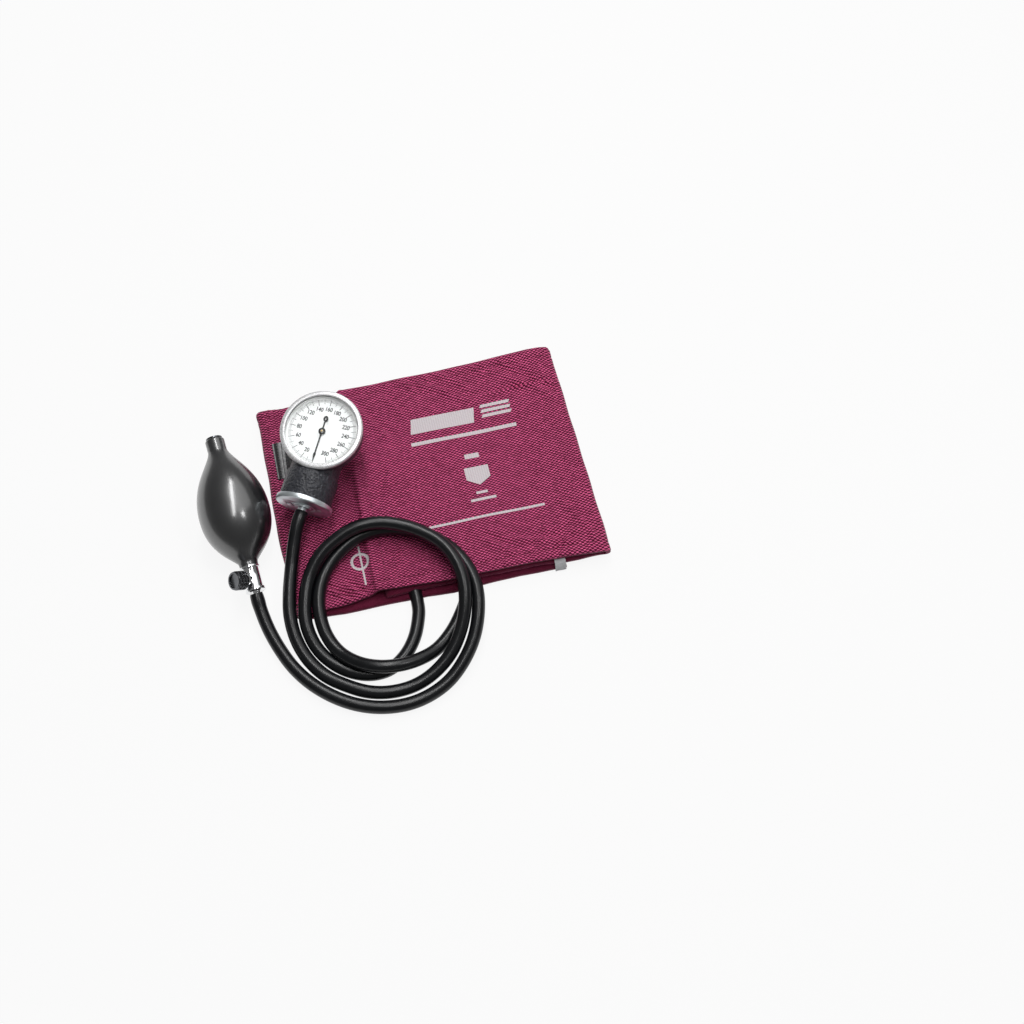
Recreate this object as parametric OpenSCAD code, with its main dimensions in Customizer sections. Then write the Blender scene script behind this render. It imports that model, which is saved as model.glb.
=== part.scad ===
// Aneroid sphygmomanometer: a folded arm cuff with its bladder, a palm gauge
// with its movement, a squeeze bulb with valves, and the two air tubes.
// Millimetres, +Z up. The cuff lies on the plane Z = 0, its length along X.

/* [Cuff] */
// Width of the cuff from hem to hem
cuff_w = 145; // [138:1:152]
// Thickness of one folded layer, both panels together
ply_t = 3.9; // [3.5:0.1:4.2]
// Air left between two folded layers
ply_gap = 0.35; // [0.3:0.05:0.5]
// Distance from the origin to the outside of the left fold
left_fold = 76; // [72:1:84]
// Distance from the origin to the outside of the right fold
right_fold = 120; // [110:1:130]
// Where the top layer steps up, left of the origin
step_x = 25; // [22:1:28]
// Length over which the top layer steps up
step_len = 10; // [9:1:12]
// Where the bottom layer ends, right of the origin
bottom_end = 93; // [80:1:100]
// Depth of the stitched channels beside the hems
channel_d = 0.4; // [0.2:0.1:0.6]
// Width of the stitched channels
channel_w = 1.4; // [0.8:0.2:2.4]
// Distance from a hem to its stitched channel
channel_in = 6; // [4:0.5:9]

/* [Bladder] */
// Width of the bladder across the cuff
bladder_w = 120; // [100:1:126]
// Thickness of the empty bladder
bladder_t = 2.2; // [1.6:0.1:2.4]
// Where the bladder ends in the bottom layer, right of the origin
bladder_bottom = 40; // [36:1:60]
// Where the bladder ends in the top layer, right of the origin
bladder_top = 30; // [10:1:60]
// Width of the flat necks that lead out to the tubes
neck_w = 9; // [8.4:0.2:14]

/* [Patches] */
// Thickness of the hook and loop patches
patch_t = 0.8; // [0.5:0.1:1]
// Where the loop patch under the cuff begins
loop_start = 11; // [5:1:30]
// Length of the hook patch on the free end
hook_len = 60; // [40:1:80]
// Width of the hook patch across the cuff
hook_w = 120; // [80:1:130]
// Width of the size tag
tag_w = 6; // [4:0.5:8]
// Thickness of the size tag
tag_t = 0.6; // [0.4:0.1:0.9]

/* [Gauge case] */
// Outer radius of the barrel
barrel_r = 16.1; // [15.9:0.1:17]
// Wall of the barrel and of the head
wall = 1.9; // [1.6:0.1:2.2]
// Length from the cap's face to the barrel's domed end
barrel_len = 68; // [66:1:72]
// Radius of the dome's edge
dome_r = 8; // [6:0.5:9]
// How much narrower the barrel is beyond its shoulder, under the head
neck_in = 1; // [0.6:0.1:1.2]
// Radius of the shoulder's edge
shoulder_edge = 2.6; // [1.5:0.1:3.2]
// Distance along the barrel from the cap's face to the dial's centre
dial_y = 45.6; // [45:0.2:47]
// Outer radius of the head below the bezel
head_r = 24.4; // [24:0.1:24.8]
// Height of the bezel's front above the barrel's axis
front_z = 17; // [16.8:0.1:18]
// Height of the head's back above the barrel's axis
back_z = 4; // [3.6:0.1:4.4]
// Radius of the head's rear edge
head_edge = 3; // [2:0.5:3.4]
// How far the bezel stands out past the head
bezel_over = 0.9; // [0.7:0.1:1.5]
// Width of the bezel's ring round the window
bezel_ring = 3.3; // [3:0.1:4]
// Thickness of the crystal
crystal_t = 1.4; // [1:0.1:1.5]
// Thickness of the dial
dial_t = 0.6; // [0.4:0.1:0.8]
// Depth of the dial's face below the bezel's front
dial_depth = 4.8; // [4.6:0.1:5.2]

/* [Base cap] */
// Radius of the base cap
cap_r = 17.5; // [16.6:0.1:18]
// Thickness of the base cap
cap_t = 3; // [2.4:0.1:3.4]
// Radius of the cap's hub
cap_hub_r = 5.2; // [4.5:0.1:7]
// Radius of the air hole through the stem
air_r = 1; // [0.6:0.1:1.2]
// Thickness of the flat seal behind the cap
seal_t = 0.4; // [0.3:0.1:0.8]

/* [Movement] */
// Teeth of the pinion
pinion_teeth = 10; // [10:1:10]
// Turns of the pointer for one turn of the sector
gear_ratio = 9; // [9:1:9]
// Size of one tooth, as pitch diameter over number of teeth
tooth_module = 0.3; // [0.28:0.01:0.31]
// Sweep of the pointer from zero to full scale
pointer_sweep = 336; // [300:2:336]
// Arm of the sector's lever
lever_arm = 2.4; // [2.2:0.1:2.6]
// Thickness of the movement's plates
plate_t = 0.8; // [0.6:0.1:0.9]
// Half the width of the movement's plates
plate_half = 10.5; // [10.4:0.1:10.7]
// Radius of the pointer's arbor
arbor_r = 0.5; // [0.4:0.05:0.6]
// Radius of the sector's arbor
sector_arbor_r = 0.8; // [0.7:0.05:1]
// Play of an arbor in its hole, on the radius
play = 0.05; // [0.03:0.01:0.08]
// Radius of the push pin
pin_r = 0.6; // [0.5:0.05:0.8]
// Radius of the pressure capsule
capsule_r = 12.5; // [11:0.1:12.8]
// Turns of the hairspring
spring_turns = 4; // [3:1:5]
// Length of the pointer from its hub to its tip
pointer_len = 19; // [16:0.5:20.5]

/* [Gauge clip] */
// Width of the spring clip under the barrel
clip_w = 12; // [10:0.5:13]
// Thickness of the spring clip
clip_t = 0.8; // [0.6:0.1:1]
// Gap between the clip and the barrel for the loop
clip_gap = 2; // [1.8:0.1:2.4]
// Length of the spring clip
clip_len = 36; // [32:1:40]
// Thickness of the webbing loop
loop_t = 1.1; // [0.9:0.1:1.1]
// Width of the webbing loop at its sewn left end
loop_w = 26; // [22:1:30]
// Width of the webbing loop where the clip gathers it
loop_pinch = 18.5; // [16:0.5:20]
// Distance from the origin to the loop's left end
loop_left = 70; // [68:1:72]
// Length of the loop that is sewn down at its left end
loop_sewn = 8; // [5:1:10]
// Front edge of the loop, behind the cuff's middle
loop_front = 20; // [19:1:22]

/* [Bulb] */
// Length of the bulb from its inlet to its outlet
bulb_len = 84.3; // [82:0.1:86]
// Greatest radius of the bulb
bulb_r = 21.6; // [21:0.1:22]
// Wall of the bulb
bulb_wall = 2.2; // [1.8:0.1:2.6]
// Radius of the bores in the bulb's two necks
neck_bore_r = 3.6; // [3.4:0.1:3.8]
// Radius of the inlet ball
ball_r = 1.5; // [1.2:0.1:1.6]
// Travel of the inlet ball and of the outlet disc
check_travel = 0.8; // [0.6:0.1:1]

/* [Release valve] */
// Radius of the valve's body
valve_r = 5.25; // [5:0.05:5.5]
// Length of the valve's body outside the bulb
valve_len = 15.5; // [15:0.1:16]
// Distance from the bulb to the thumbscrew's axis
screw_s = 8; // [7.4:0.1:8.2]
// Radius of the thumbscrew's knob
knob_r = 5.8; // [5:0.1:6]
// Distance from the valve's axis to the knob's face
knob_face = 14.2; // [13.6:0.1:16]
// Radius of the screw's shank
shank_r = 1.5; // [1.3:0.05:1.7]

/* [Tubes] */
// Outer radius of the air tubes
tube_r = 4; // [3.8:0.1:4]
// Radius of the barbs inside the tubes
barb_r = 2.2; // [1.8:0.1:2.6]

/* [Hidden] */
$fn = 96;

// Fits: the air between two pieces that only touch, and the one of a sliding piece
seat = 0.05;
slide_fit = 0.1;
// How far a cutting form reaches past the face that it opens
over = 1;

// Heights of the cuff's layers, at their middle planes
half_ply = ply_t / 2;
layer = ply_t + ply_gap;
bend_r = layer / 2;
low_z = half_ply;
mid_z = low_z + layer;
top_z = mid_z + layer;
strip_top = mid_z + half_ply;
fold_steps = 10;
step_steps = 10;
fold_out = bend_r + half_ply;
free_end = -step_x + step_len / 2 + 1.5;
wall_in = 0.1;
pocket_half = bladder_t / 2 + wall_in;

// Places where the tubes enter the front hem
port_x = [-1, 30.5];

// Pose of the gauge on the cuff: the cap's outer face, its heading and its tilt
gauge_x = -56.7;
gauge_y = -11.2;
gauge_heading = -28.4;
gauge_tilt = 8.4;
gauge_z = strip_top + cap_r * cos(gauge_tilt) + 0.15;

// Inside of the gauge
barrel_in = barrel_r - wall;
case_start = cap_t + seal_t;
dial_top = front_z - dial_depth;
dial_z = dial_top - dial_t;
dial_r = head_r - wall - 0.3;
ledge_r = dial_r - 1;
bezel_r = head_r + bezel_over;
window_r = bezel_r - bezel_ring;
bezel_t = 0.6;
crystal_top = front_z - bezel_t;
crystal_z = crystal_top - crystal_t;
gasket_t = 0.6;
lip_top = crystal_z - gasket_t;
lip_r = head_r - 0.8;
crystal_r = lip_r - 0.2;
bezel_low = front_z - 4.5;
bezel_gap = 0.3;
pad_half = clip_w / 2 - 0.5;
pad_len = 7.5;
loop_drop = 7;
loop_lap = 2;
neck_out = barrel_r - neck_in;
clip_z = -neck_out - clip_gap;
clip_end = barrel_len - 2;
rivet_y = [clip_end - 2, clip_end - 5.5];
rivet_r = 0.8;

// Gear train: the pinion stands under the dial's centre
pinion_pitch = tooth_module * pinion_teeth / 2;
sector_pitch = pinion_pitch * gear_ratio;
centre_dist = pinion_pitch + sector_pitch;
sector_sweep = pointer_sweep / gear_ratio;
pivot_x = -lever_arm;
pivot_y = dial_y - sqrt(centre_dist * centre_dist - lever_arm * lever_arm);
mesh_dir = atan2(dial_y - pivot_y, lever_arm);
sector_rest = mesh_dir - sector_sweep / 2;
tooth_step = 360 / pinion_teeth / gear_ratio;
sector_half_teeth = 6;
addendum = 0.65 * tooth_module;
dedendum = 1.05 * tooth_module;
tooth_share = 0.4;
pressure_angle = 20;

// Heights of the movement, above the barrel's axis
back_plate_z = 3;
sector_z = 5.5;
sector_t = 0.8;
pinion_t = 1.6;
spring_z = 8.1;
spring_h = 0.6;
front_plate_z = dial_z - 2 * plate_t - 0.4;
plate_start = pivot_y - 3.4;
plate_end = dial_y + 11.4;
guide_y = plate_start - 6;
guide_t = 1.4;
guide_half = 3.5;
guide_drop = 2.5;
pillar_x = 8.5;
pillar_y = [pivot_y - 0.8, dial_y + 8.4];
pillar_r = 1.6;
post_r = 2.2;
tail_r = 0.8;
lever_t = 1.2;
lever_tip = 0.5;
pin_head_y = case_start + 8;
pin_head_r = 1.5;
pin_gap = 0.1;
pin_tip_r = 0.15;
pin_taper = 0.8;
pin_top = pivot_y - lever_arm * sin(sector_sweep / 2) - lever_tip - pin_gap;
capsule_y = cap_t + 1.6;
capsule_t = 4.6;

// Bulb pose: the inlet end, the heading and the slope of the axis
bulb_slope = 11;
bulb_heading = 4.7;
neck_r = 5.9;
outlet_r = 5.7;
bulb_steps = 12;
inlet_flange_t = 1;
bulb_x = -102.25;
bulb_y = 44;
bulb_z = max([for (p = bulb_line()) p[1] * sin(bulb_slope) + p[0] * cos(bulb_slope)]);

// Release valve, measured along the bulb's axis from the bulb's outlet
spigot_r = neck_bore_r - seat;
spigot_len = 10;
chamber_r = 2.4;
disc_r = 2;
disc_t = 0.8;
boss_r = 4;
boss_out = 6;
collar_t = 1;
packing_t = 1.2;
packing_r = 2.6;
main_bore = 1.4;
knob_turn = 138;

// Routes of the tubes' centre lines
gauge_route = [
    [-58, -13.7, 25.2], [-62.5, -21.9, 23.3], [-67.2, -33, 18.6], [-71.5, -46, 14.3], [-75, -60, 12.8],
    [-77, -74, 11.5], [-76, -88, 8], [-71.5, -101, 5.5], [-63.5, -112.5, 4], [-52.5, -121.5, 4],
    [-40, -128.5, 4], [-26.5, -131.5, 4], [-12.5, -130.5, 4], [0.5, -125.5, 5.5],
    [12, -117, 8.5], [20.5, -105.5, 13], [26, -92.5, 18], [28, -79, 22], [26, -66, 24.5],
    [20, -53.5, 25], [10, -43.5, 25], [-2, -36, 25], [-15, -31.5, 25], [-28.5, -31.5, 24.5],
    [-41, -35.5, 22.5], [-52.5, -42.5, 19.8], [-61.5, -53.5, 16], [-66.5, -66.5, 13.2],
    [-68.5, -80, 10.2], [-66, -93, 6.5], [-59.5, -104, 4.5], [-49.5, -113, 4],
    [-37.5, -118, 4], [-25.5, -117.5, 4], [-15, -111, 4], [-7, -100.5, 4], [-2, -87.5, 4],
    [-1, -79.5, 4], [-1, -72.5, 4]
];
bulb_route = [
    [-94.5, -55, 12], [-93.5, -65, 8.5], [-91, -77.5, 5.5], [-86.5, -91, 4], [-80.5, -104, 4],
    [-72, -116, 4], [-61, -126.5, 4], [-48.5, -134.5, 4], [-34.5, -139.5, 4],
    [-19.5, -141, 4], [-5.5, -138.5, 4], [7.5, -132.5, 5], [18.5, -123, 7.5],
    [27, -111.5, 10.5], [32.5, -98.5, 14], [35, -85, 16.6], [33.5, -71.5, 17],
    [28.5, -59, 16.8], [20, -48, 16.6], [8.5, -39.5, 16.6], [-4.5, -34, 16.6],
    [-18, -32.5, 16.5], [-30.5, -35, 16.2], [-42, -41.5, 14.6], [-51.5, -51, 13],
    [-57.5, -63.5, 12.4], [-59.5, -76.5, 11], [-58, -89.5, 8.5], [-52.5, -101.5, 8],
    [-43.5, -111, 10.2], [-32.5, -117, 12.2], [-20, -119, 11.7], [-7.5, -117, 8.7],
    [4.5, -111.5, 5], [15, -102.5, 4], [23.5, -91.5, 4], [29, -81.5, 4], [30.5, -72.5, 4]
];
tube_sides = 10;

// Middle line of the folded cuff as [x, z, heading in degrees], from the bottom
// layer's free end round the left fold, over the step and round the right fold
function arc_line(cx, cz, r, a0, a1, n) =
    [for (i = [0:n]) let (a = a0 + (a1 - a0) * i / n) [cx + r * cos(a), cz + r * sin(a), a - 90]];
function step_line(n) = [
    for (i = [0:n]) let (t = 180 * i / n) [
        -step_x - step_len / 2 + step_len * i / n,
        mid_z + layer * (1 - cos(t)) / 2,
        atan(layer * PI / 2 * sin(t) / step_len)
    ]
];
left_bend = arc_line(-left_fold + fold_out, low_z + bend_r, bend_r, 270, 90, fold_steps);
right_bend = arc_line(right_fold - fold_out, mid_z + bend_r, bend_r, 90, -90, fold_steps);
function cuff_line() = concat(
    [[bottom_end, low_z, 180]], left_bend, step_line(step_steps), right_bend,
    [[free_end, mid_z, -180]]
);
function bladder_line(extra = 0) = concat(
    [[bladder_bottom + extra, low_z, 180]], left_bend, step_line(step_steps),
    [[bladder_top + extra, top_z, 0]]
);
// Point beside the middle line, d away on the cuff's outer side
function beside(p, d) = [p[0] - d * sin(p[2]), p[1] + d * cos(p[2])];
function band(line, d0, d1) = concat(
    [for (p = line) beside(p, d0)],
    [for (i = [len(line) - 1:-1:0]) beside(line[i], d1)]
);
// Height of the cuff's upper face left and right of the step
function face_z(x) =
    let (t = min(1, max(0, (x + step_x + step_len / 2) / step_len)))
    strip_top + layer * (1 - cos(180 * t)) / 2;

// An outline in X and Z, drawn across the cuff
module across(width, y = 0) {
    translate([0, y + width / 2, 0]) rotate([90, 0, 0]) linear_extrude(width) children();
}

module bladder_pocket() {
    across(bladder_w + 2 * wall_in)
        polygon(band(bladder_line(wall_in), -pocket_half, pocket_half));
    for (x = port_x)
        translate([x - neck_w / 2 - wall_in, -cuff_w / 2 - over, low_z - pocket_half])
            cube([neck_w + 2 * wall_in, (cuff_w - bladder_w) / 2 + over + 1, 2 * pocket_half]);
}

module loop_space(grow = 0) {
    translate([loop_start - grow, -cuff_w / 2 - over * sign(grow), -over * sign(grow)])
        cube([bottom_end - loop_start + (1 + over) * sign(grow) + grow,
            cuff_w + 2 * over * sign(grow), patch_t + (over + wall_in) * sign(grow)]);
}

module hook_space(grow = 0) {
    translate([free_end + 2 - grow, -hook_w / 2 - grow, strip_top - patch_t - grow])
        cube([hook_len + 2 * grow, hook_w + 2 * grow, patch_t + grow + over * sign(grow) / 4]);
}

module tag_space(grow = 0) {
    translate([bottom_end - tag_w - grow, -cuff_w / 2 - over * sign(grow), low_z - 1.1 - grow])
        cube([tag_w + 2 * grow + over * sign(grow), tag_t + grow + over * sign(grow),
            half_ply + 1 + grow]);
}

module stitched_channels() {
    for (side = [-1, 1])
        across(channel_w, side * (cuff_w / 2 - channel_in))
            polygon(band(cuff_line(), half_ply - channel_d, half_ply + 0.15));
}

module cuff_outer_panel() {
    color("#8c1b3f") difference() {
        across(cuff_w) polygon(band(cuff_line(), 0, half_ply));
        bladder_pocket();
        stitched_channels();
        loop_space(wall_in);
        tag_space(wall_in);
    }
}

module cuff_inner_panel() {
    color("#7a1737") difference() {
        across(cuff_w) polygon(band(cuff_line(), -half_ply, 0));
        bladder_pocket();
        hook_space(wall_in);
        tag_space(wall_in);
    }
}

module bladder() {
    color("#2b2b2d") {
        across(bladder_w) polygon(band(bladder_line(), -bladder_t / 2, bladder_t / 2));
        for (x = port_x)
            translate([x - neck_w / 2, -cuff_w / 2, low_z - bladder_t / 2])
                cube([neck_w, (cuff_w - bladder_w) / 2 + 1, bladder_t]);
    }
}

module loop_patch() {
    color("#1f2b26") difference() {
        loop_space();
        tag_space(wall_in);
    }
}

module hook_patch() {
    color("#20241f") hook_space();
}

module size_tag() {
    color("#d9d7d2") tag_space();
}

module at_gauge() {
    translate([gauge_x, gauge_y, gauge_z]) rotate([gauge_tilt, 0, gauge_heading]) children();
}

module at_dial() {
    translate([0, dial_y, 0]) children();
}

// A cylinder lying along the barrel, from y0 to y1
module along(r, y0, y1) {
    translate([0, y1, 0]) rotate([90, 0, 0]) cylinder(r = r, h = y1 - y0);
}

// The barrel's outside or inside: straight, with a domed far end
module barrel_form(r, y0, y1, edge) {
    translate([0, y1, 0]) rotate([90, 0, 0]) rotate_extrude() {
        translate([0, edge]) square([r, y1 - y0 - edge]);
        square([r - edge, y1 - y0]);
        intersection() {
            translate([r - edge, edge]) circle(edge);
            square([r, edge + 0.01]);
        }
    }
}

module head_outline() {
    translate([0, back_z + head_edge]) square([head_r, bezel_low - back_z - head_edge]);
    translate([0, back_z]) square([head_r - head_edge, bezel_low - back_z]);
    intersection() {
        translate([head_r - head_edge, back_z + head_edge]) circle(head_edge);
        square([head_r, bezel_low]);
    }
    translate([0, back_z + head_edge]) square([lip_r, lip_top - back_z - head_edge]);
}

module movement_posts(r, z0, z1) {
    for (x = [-1, 1], y = pillar_y)
        translate([x * pillar_x, y, z0]) cylinder(r = r, h = z1 - z0, $fn = 32);
}

module gauge_case() {
    shoulder_y = dial_y - bezel_r + 1;
    color("#202326") at_gauge() difference() {
        union() {
            difference() {
                union() {
                    barrel_form(barrel_r, case_start, shoulder_y, shoulder_edge);
                    barrel_form(neck_out, case_start + 1, barrel_len, dome_r - neck_in);
                }
                at_dial() translate([0, 0, bezel_low]) cylinder(r = bezel_r + bezel_gap, h = front_z);
            }
            at_dial() rotate_extrude() head_outline();
            translate([-pad_half, clip_end - pad_len, clip_z])
                cube([2 * pad_half, pad_len, clip_gap + neck_out / 2]);
        }
        difference() {
            barrel_form(barrel_in, case_start - over, barrel_len - wall, dome_r - wall);
            movement_posts(post_r, -barrel_r, back_plate_z);
            at_dial() translate([0, 0, bezel_low - wall])
                cylinder(r = bezel_r + bezel_gap + wall, h = front_z);
        }
        movement_posts(tail_r + seat, back_plate_z - 4, back_plate_z + 1);
        at_dial() translate([0, 0, back_z + wall]) cylinder(r = ledge_r, h = front_z);
        at_dial() translate([0, 0, dial_z]) cylinder(r = dial_r + 0.1, h = front_z);
        for (y = rivet_y)
            translate([0, y, clip_z - over]) cylinder(r = rivet_r, h = over + 1.4, $fn = 32);
    }
}

module gauge_bezel() {
    rim = 1.2;
    color("#d4d6d9") at_gauge() at_dial() rotate_extrude() {
        translate([lip_r + seat, bezel_low + 0.1])
            square([bezel_r - lip_r - seat, front_z - bezel_low - 0.1 - rim]);
        translate([window_r, crystal_top + seat])
            square([bezel_r - rim - window_r, front_z - crystal_top - seat]);
        translate([lip_r + seat, crystal_top - 1])
            square([bezel_r - rim - lip_r - seat, front_z - crystal_top + 1]);
        intersection() {
            translate([bezel_r - rim, front_z - rim]) circle(rim, $fn = 48);
            translate([lip_r + seat, front_z - rim]) square(bezel_r);
        }
    }
}

module gauge_crystal() {
    color("#dfe9ee", 0.35) at_gauge() at_dial()
        translate([0, 0, crystal_z]) cylinder(r = crystal_r, h = crystal_t);
}

module crystal_gasket() {
    color("#303030") at_gauge() at_dial() translate([0, 0, lip_top]) difference() {
        cylinder(r = crystal_r, h = gasket_t);
        translate([0, 0, -over]) cylinder(r = dial_r + 0.3, h = gasket_t + 2 * over);
    }
}

module dial_plate() {
    color("#ecebea") at_gauge() at_dial() translate([0, 0, dial_z]) difference() {
        cylinder(r = dial_r, h = dial_t);
        translate([0, 0, -over]) cylinder(r = 1.6, h = dial_t + 2 * over);
    }
}

// The pointer lies toward the cap at zero, with a ring hub and an oval weight
module pointer() {
    blade = 0.3;
    hub_r = 1.8;
    tail = 7.6;
    color("#141414") at_gauge() at_dial() translate([0, 0, dial_top + 0.7]) {
        linear_extrude(blade) {
            polygon([[-0.42, -hub_r + 0.3], [0.42, -hub_r + 0.3],
                [0.16, -pointer_len], [-0.16, -pointer_len]]);
            difference() {
                circle(hub_r);
                circle(arbor_r + seat / 2, $fn = 32);
            }
            translate([-0.3, hub_r - 0.2]) square([0.6, tail - hub_r - 1]);
            translate([0, tail])
                polygon([for (a = [0:15:345]) [1.4 * cos(a), 1.9 * sin(a)]]);
        }
        translate([0, 0, -0.3]) difference() {
            cylinder(r = 1, h = 1.1, $fn = 48);
            translate([0, 0, -over]) cylinder(r = arbor_r + seat / 2, h = 3, $fn = 32);
        }
    }
}

// Half the angle of a tooth at radius r, for an involute tooth on base radius rb
function turn_in(r, rb) =
    let (a = sqrt(max(0, r * r / rb / rb - 1)) * 180 / PI) a - atan(a * PI / 180);
function flank(r, rp, half) =
    let (rb = rp * cos(pressure_angle)) half + turn_in(rp, rb) - turn_in(max(r, rb), rb);
// One tooth's outline round the direction dir, from its foot up, over and down
function tooth(rp, dir, half) =
    let (rs = [rp - dedendum, rp - dedendum / 2, rp, rp + addendum / 2, rp + addendum])
    concat(
        [for (r = rs) let (a = dir - flank(r, rp, half)) r * [cos(a), sin(a)]],
        [for (i = [4:-1:0]) let (a = dir + flank(rs[i], rp, half)) rs[i] * [cos(a), sin(a)]]
    );

module pinion_arbor() {
    low = back_plate_z - 0.6;
    gap_dir = mesh_dir + 180 + gear_ratio * sector_sweep / 2;
    step = 360 / pinion_teeth;
    half = step * tooth_share / 2;
    color("#c9a24a") at_gauge() at_dial() {
        translate([0, 0, low]) cylinder(r = arbor_r, h = dial_top + 1.5 - low, $fn = 32);
        translate([0, 0, sector_z + sector_t / 2 - pinion_t / 2]) linear_extrude(pinion_t)
            polygon([for (i = [0:pinion_teeth - 1])
                each tooth(pinion_pitch, gap_dir + step / 2 + i * step, half)]);
        translate([0, 0, spring_z - 0.2]) cylinder(r = 1.1, h = spring_h + 0.4, $fn = 32);
    }
}

// Toothed sector on its arbor, with the lever that the push pin lifts
module sector_gear() {
    half = tooth_step * tooth_share / 2;
    span = (sector_half_teeth + 0.6) * tooth_step;
    rim_r = sector_pitch - dedendum - 1.6;
    root_r = sector_pitch - dedendum;
    low = -lever_t / 2;
    arbor_top = front_plate_z + plate_t + 0.1;
    color("#d0a850") at_gauge() translate([pivot_x, pivot_y, 0]) {
        translate([0, 0, sector_z]) rotate([0, 0, sector_rest]) linear_extrude(sector_t) {
            polygon(concat(
                [root_r * [cos(-span), sin(-span)]],
                [for (i = [-sector_half_teeth:sector_half_teeth])
                    each tooth(sector_pitch, i * tooth_step, half)],
                [root_r * [cos(span), sin(span)]],
                [for (i = [6:-1:-6]) rim_r * [cos(span * i / 6), sin(span * i / 6)]]
            ));
            for (side = [-1, 1])
                rotate([0, 0, side * (span - 4)]) translate([0, -0.7])
                    square([rim_r + 0.3, 1.4]);
            circle(2.2, $fn = 48);
        }
        translate([0, 0, low]) cylinder(r = sector_arbor_r, h = arbor_top - low, $fn = 32);
        translate([0, 0, low]) linear_extrude(lever_t) rotate([0, 0, -sector_sweep / 2]) {
            translate([0, -lever_tip]) square([lever_arm, 2 * lever_tip]);
            translate([lever_arm, 0]) circle(lever_tip, $fn = 32);
            circle(1.6, $fn = 32);
        }
    }
}

module hairspring() {
    r0 = 1.5;
    pitch = 0.95;
    half = 0.12;
    steps = 18 * spring_turns;
    function wind(i, d) = let (a = 20 * i, r = r0 + pitch * i / 18 + d) r * [cos(a), sin(a)];
    outer = r0 + pitch * spring_turns;
    stud_top = front_plate_z - seat;
    color("#b8bcc2") at_gauge() at_dial() {
        translate([0, 0, spring_z]) linear_extrude(spring_h)
            polygon(concat([for (i = [0:steps]) wind(i, half)],
                [for (i = [steps:-1:0]) wind(i, -half)]));
        translate([outer - 0.5, -0.4, spring_z])
            cube([1, 1, stud_top - spring_z]);
    }
}

module plate_form(z) {
    corner = 2.5;
    translate([0, 0, z]) linear_extrude(plate_t) {
        translate([-plate_half + corner, plate_start])
            square([2 * (plate_half - corner), plate_end - plate_start]);
        translate([-plate_half, plate_start + corner])
            square([2 * plate_half, plate_end - plate_start - 2 * corner]);
        for (x = [-1, 1], y = [plate_start + corner, plate_end - corner])
            translate([x * (plate_half - corner), y]) circle(corner, $fn = 48);
    }
}

module arbor_holes(z) {
    translate([0, 0, z - over]) {
        translate([0, dial_y, 0]) cylinder(r = arbor_r + play, h = plate_t + 2 * over, $fn = 32);
        translate([pivot_x, pivot_y, 0])
            cylinder(r = sector_arbor_r + play, h = plate_t + 2 * over, $fn = 32);
    }
}

// The back plate's tail is bent down and guides the push pin
module movement_back_plate() {
    color("#c2a45c") at_gauge() difference() {
        union() {
            plate_form(back_plate_z);
            translate([-guide_half, guide_y, back_plate_z])
                cube([2 * guide_half, plate_start - guide_y + 1, plate_t]);
            translate([-guide_half, guide_y, -guide_drop])
                cube([2 * guide_half, guide_t, back_plate_z + plate_t + guide_drop]);
        }
        arbor_holes(back_plate_z);
        movement_posts(tail_r + seat, back_plate_z - over, back_plate_z + plate_t + over);
        along(pin_r + play, guide_y - over, guide_y + guide_t + over);
    }
}

module movement_front_plate() {
    color("#c2a45c") at_gauge() difference() {
        plate_form(front_plate_z);
        arbor_holes(front_plate_z);
        movement_posts(tail_r + seat, front_plate_z - over, front_plate_z + plate_t + over);
    }
}

module movement_pillars() {
    foot = back_plate_z + plate_t;
    color("#b89a55") at_gauge() difference() {
        union() {
            movement_posts(pillar_r, foot, front_plate_z);
            movement_posts(tail_r, back_plate_z - 3.5, foot + 1);
        }
        movement_posts(tail_r - 0.2, front_plate_z - 2.5, front_plate_z + over);
    }
}

module movement_screws() {
    head = front_plate_z + plate_t;
    slot = 0.4;
    slot_len = 4;
    color("#9aa0a6") at_gauge() difference() {
        union() {
            movement_posts(1.4, head, head + 0.8);
            movement_posts(tail_r - 0.2 - seat, front_plate_z - 2.2, head + 0.2);
        }
        for (x = [-1, 1], y = pillar_y)
            translate([x * pillar_x - slot / 2, y - slot_len / 2, head + 0.4])
                cube([slot, slot_len, 1]);
    }
}

module push_pin() {
    color("#c7cacf") at_gauge() {
        along(pin_r, pin_head_y, pin_top - pin_taper, $fn = 32);
        translate([0, pin_top - pin_taper, 0]) rotate([-90, 0, 0])
            cylinder(r1 = pin_r, r2 = pin_tip_r, h = pin_taper, $fn = 32);
        along(pin_head_r, pin_head_y, pin_head_y + 0.8, $fn = 32);
    }
}

// Two corrugated diaphragms soldered at their rims, fed through the cap's stem
module pressure_capsule() {
    mid = capsule_y + capsule_t / 2;
    waves = 3;
    points = 24;
    function bulge(r) = capsule_t / 2 * (1 - pow(r / capsule_r, 2)) * 0.6
        + 0.4 + 0.3 * (1 - cos(360 * waves * r / capsule_r)) * (1 - r / capsule_r);
    pad_end = pin_head_y - mid - seat;
    color("#b98f4a") at_gauge() translate([0, mid, 0]) rotate([-90, 0, 0]) {
        rotate_extrude() polygon(concat(
            [for (i = [0:points]) let (r = capsule_r * i / points) [r, bulge(r)]],
            [for (i = [points:-1:0]) let (r = capsule_r * i / points) [r, -bulge(r)]]
        ));
        cylinder(r = 2.4, h = pad_end, $fn = 48);
        rotate([180, 0, 0]) cylinder(r = 2.4, h = mid - cap_t - seat, $fn = 48);
    }
}

module barb(r, length, rings) {
    step = length / rings;
    for (i = [0:rings - 1])
        translate([0, 0, i * step]) cylinder(r1 = r, r2 = r * 0.8, h = step);
}

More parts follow.
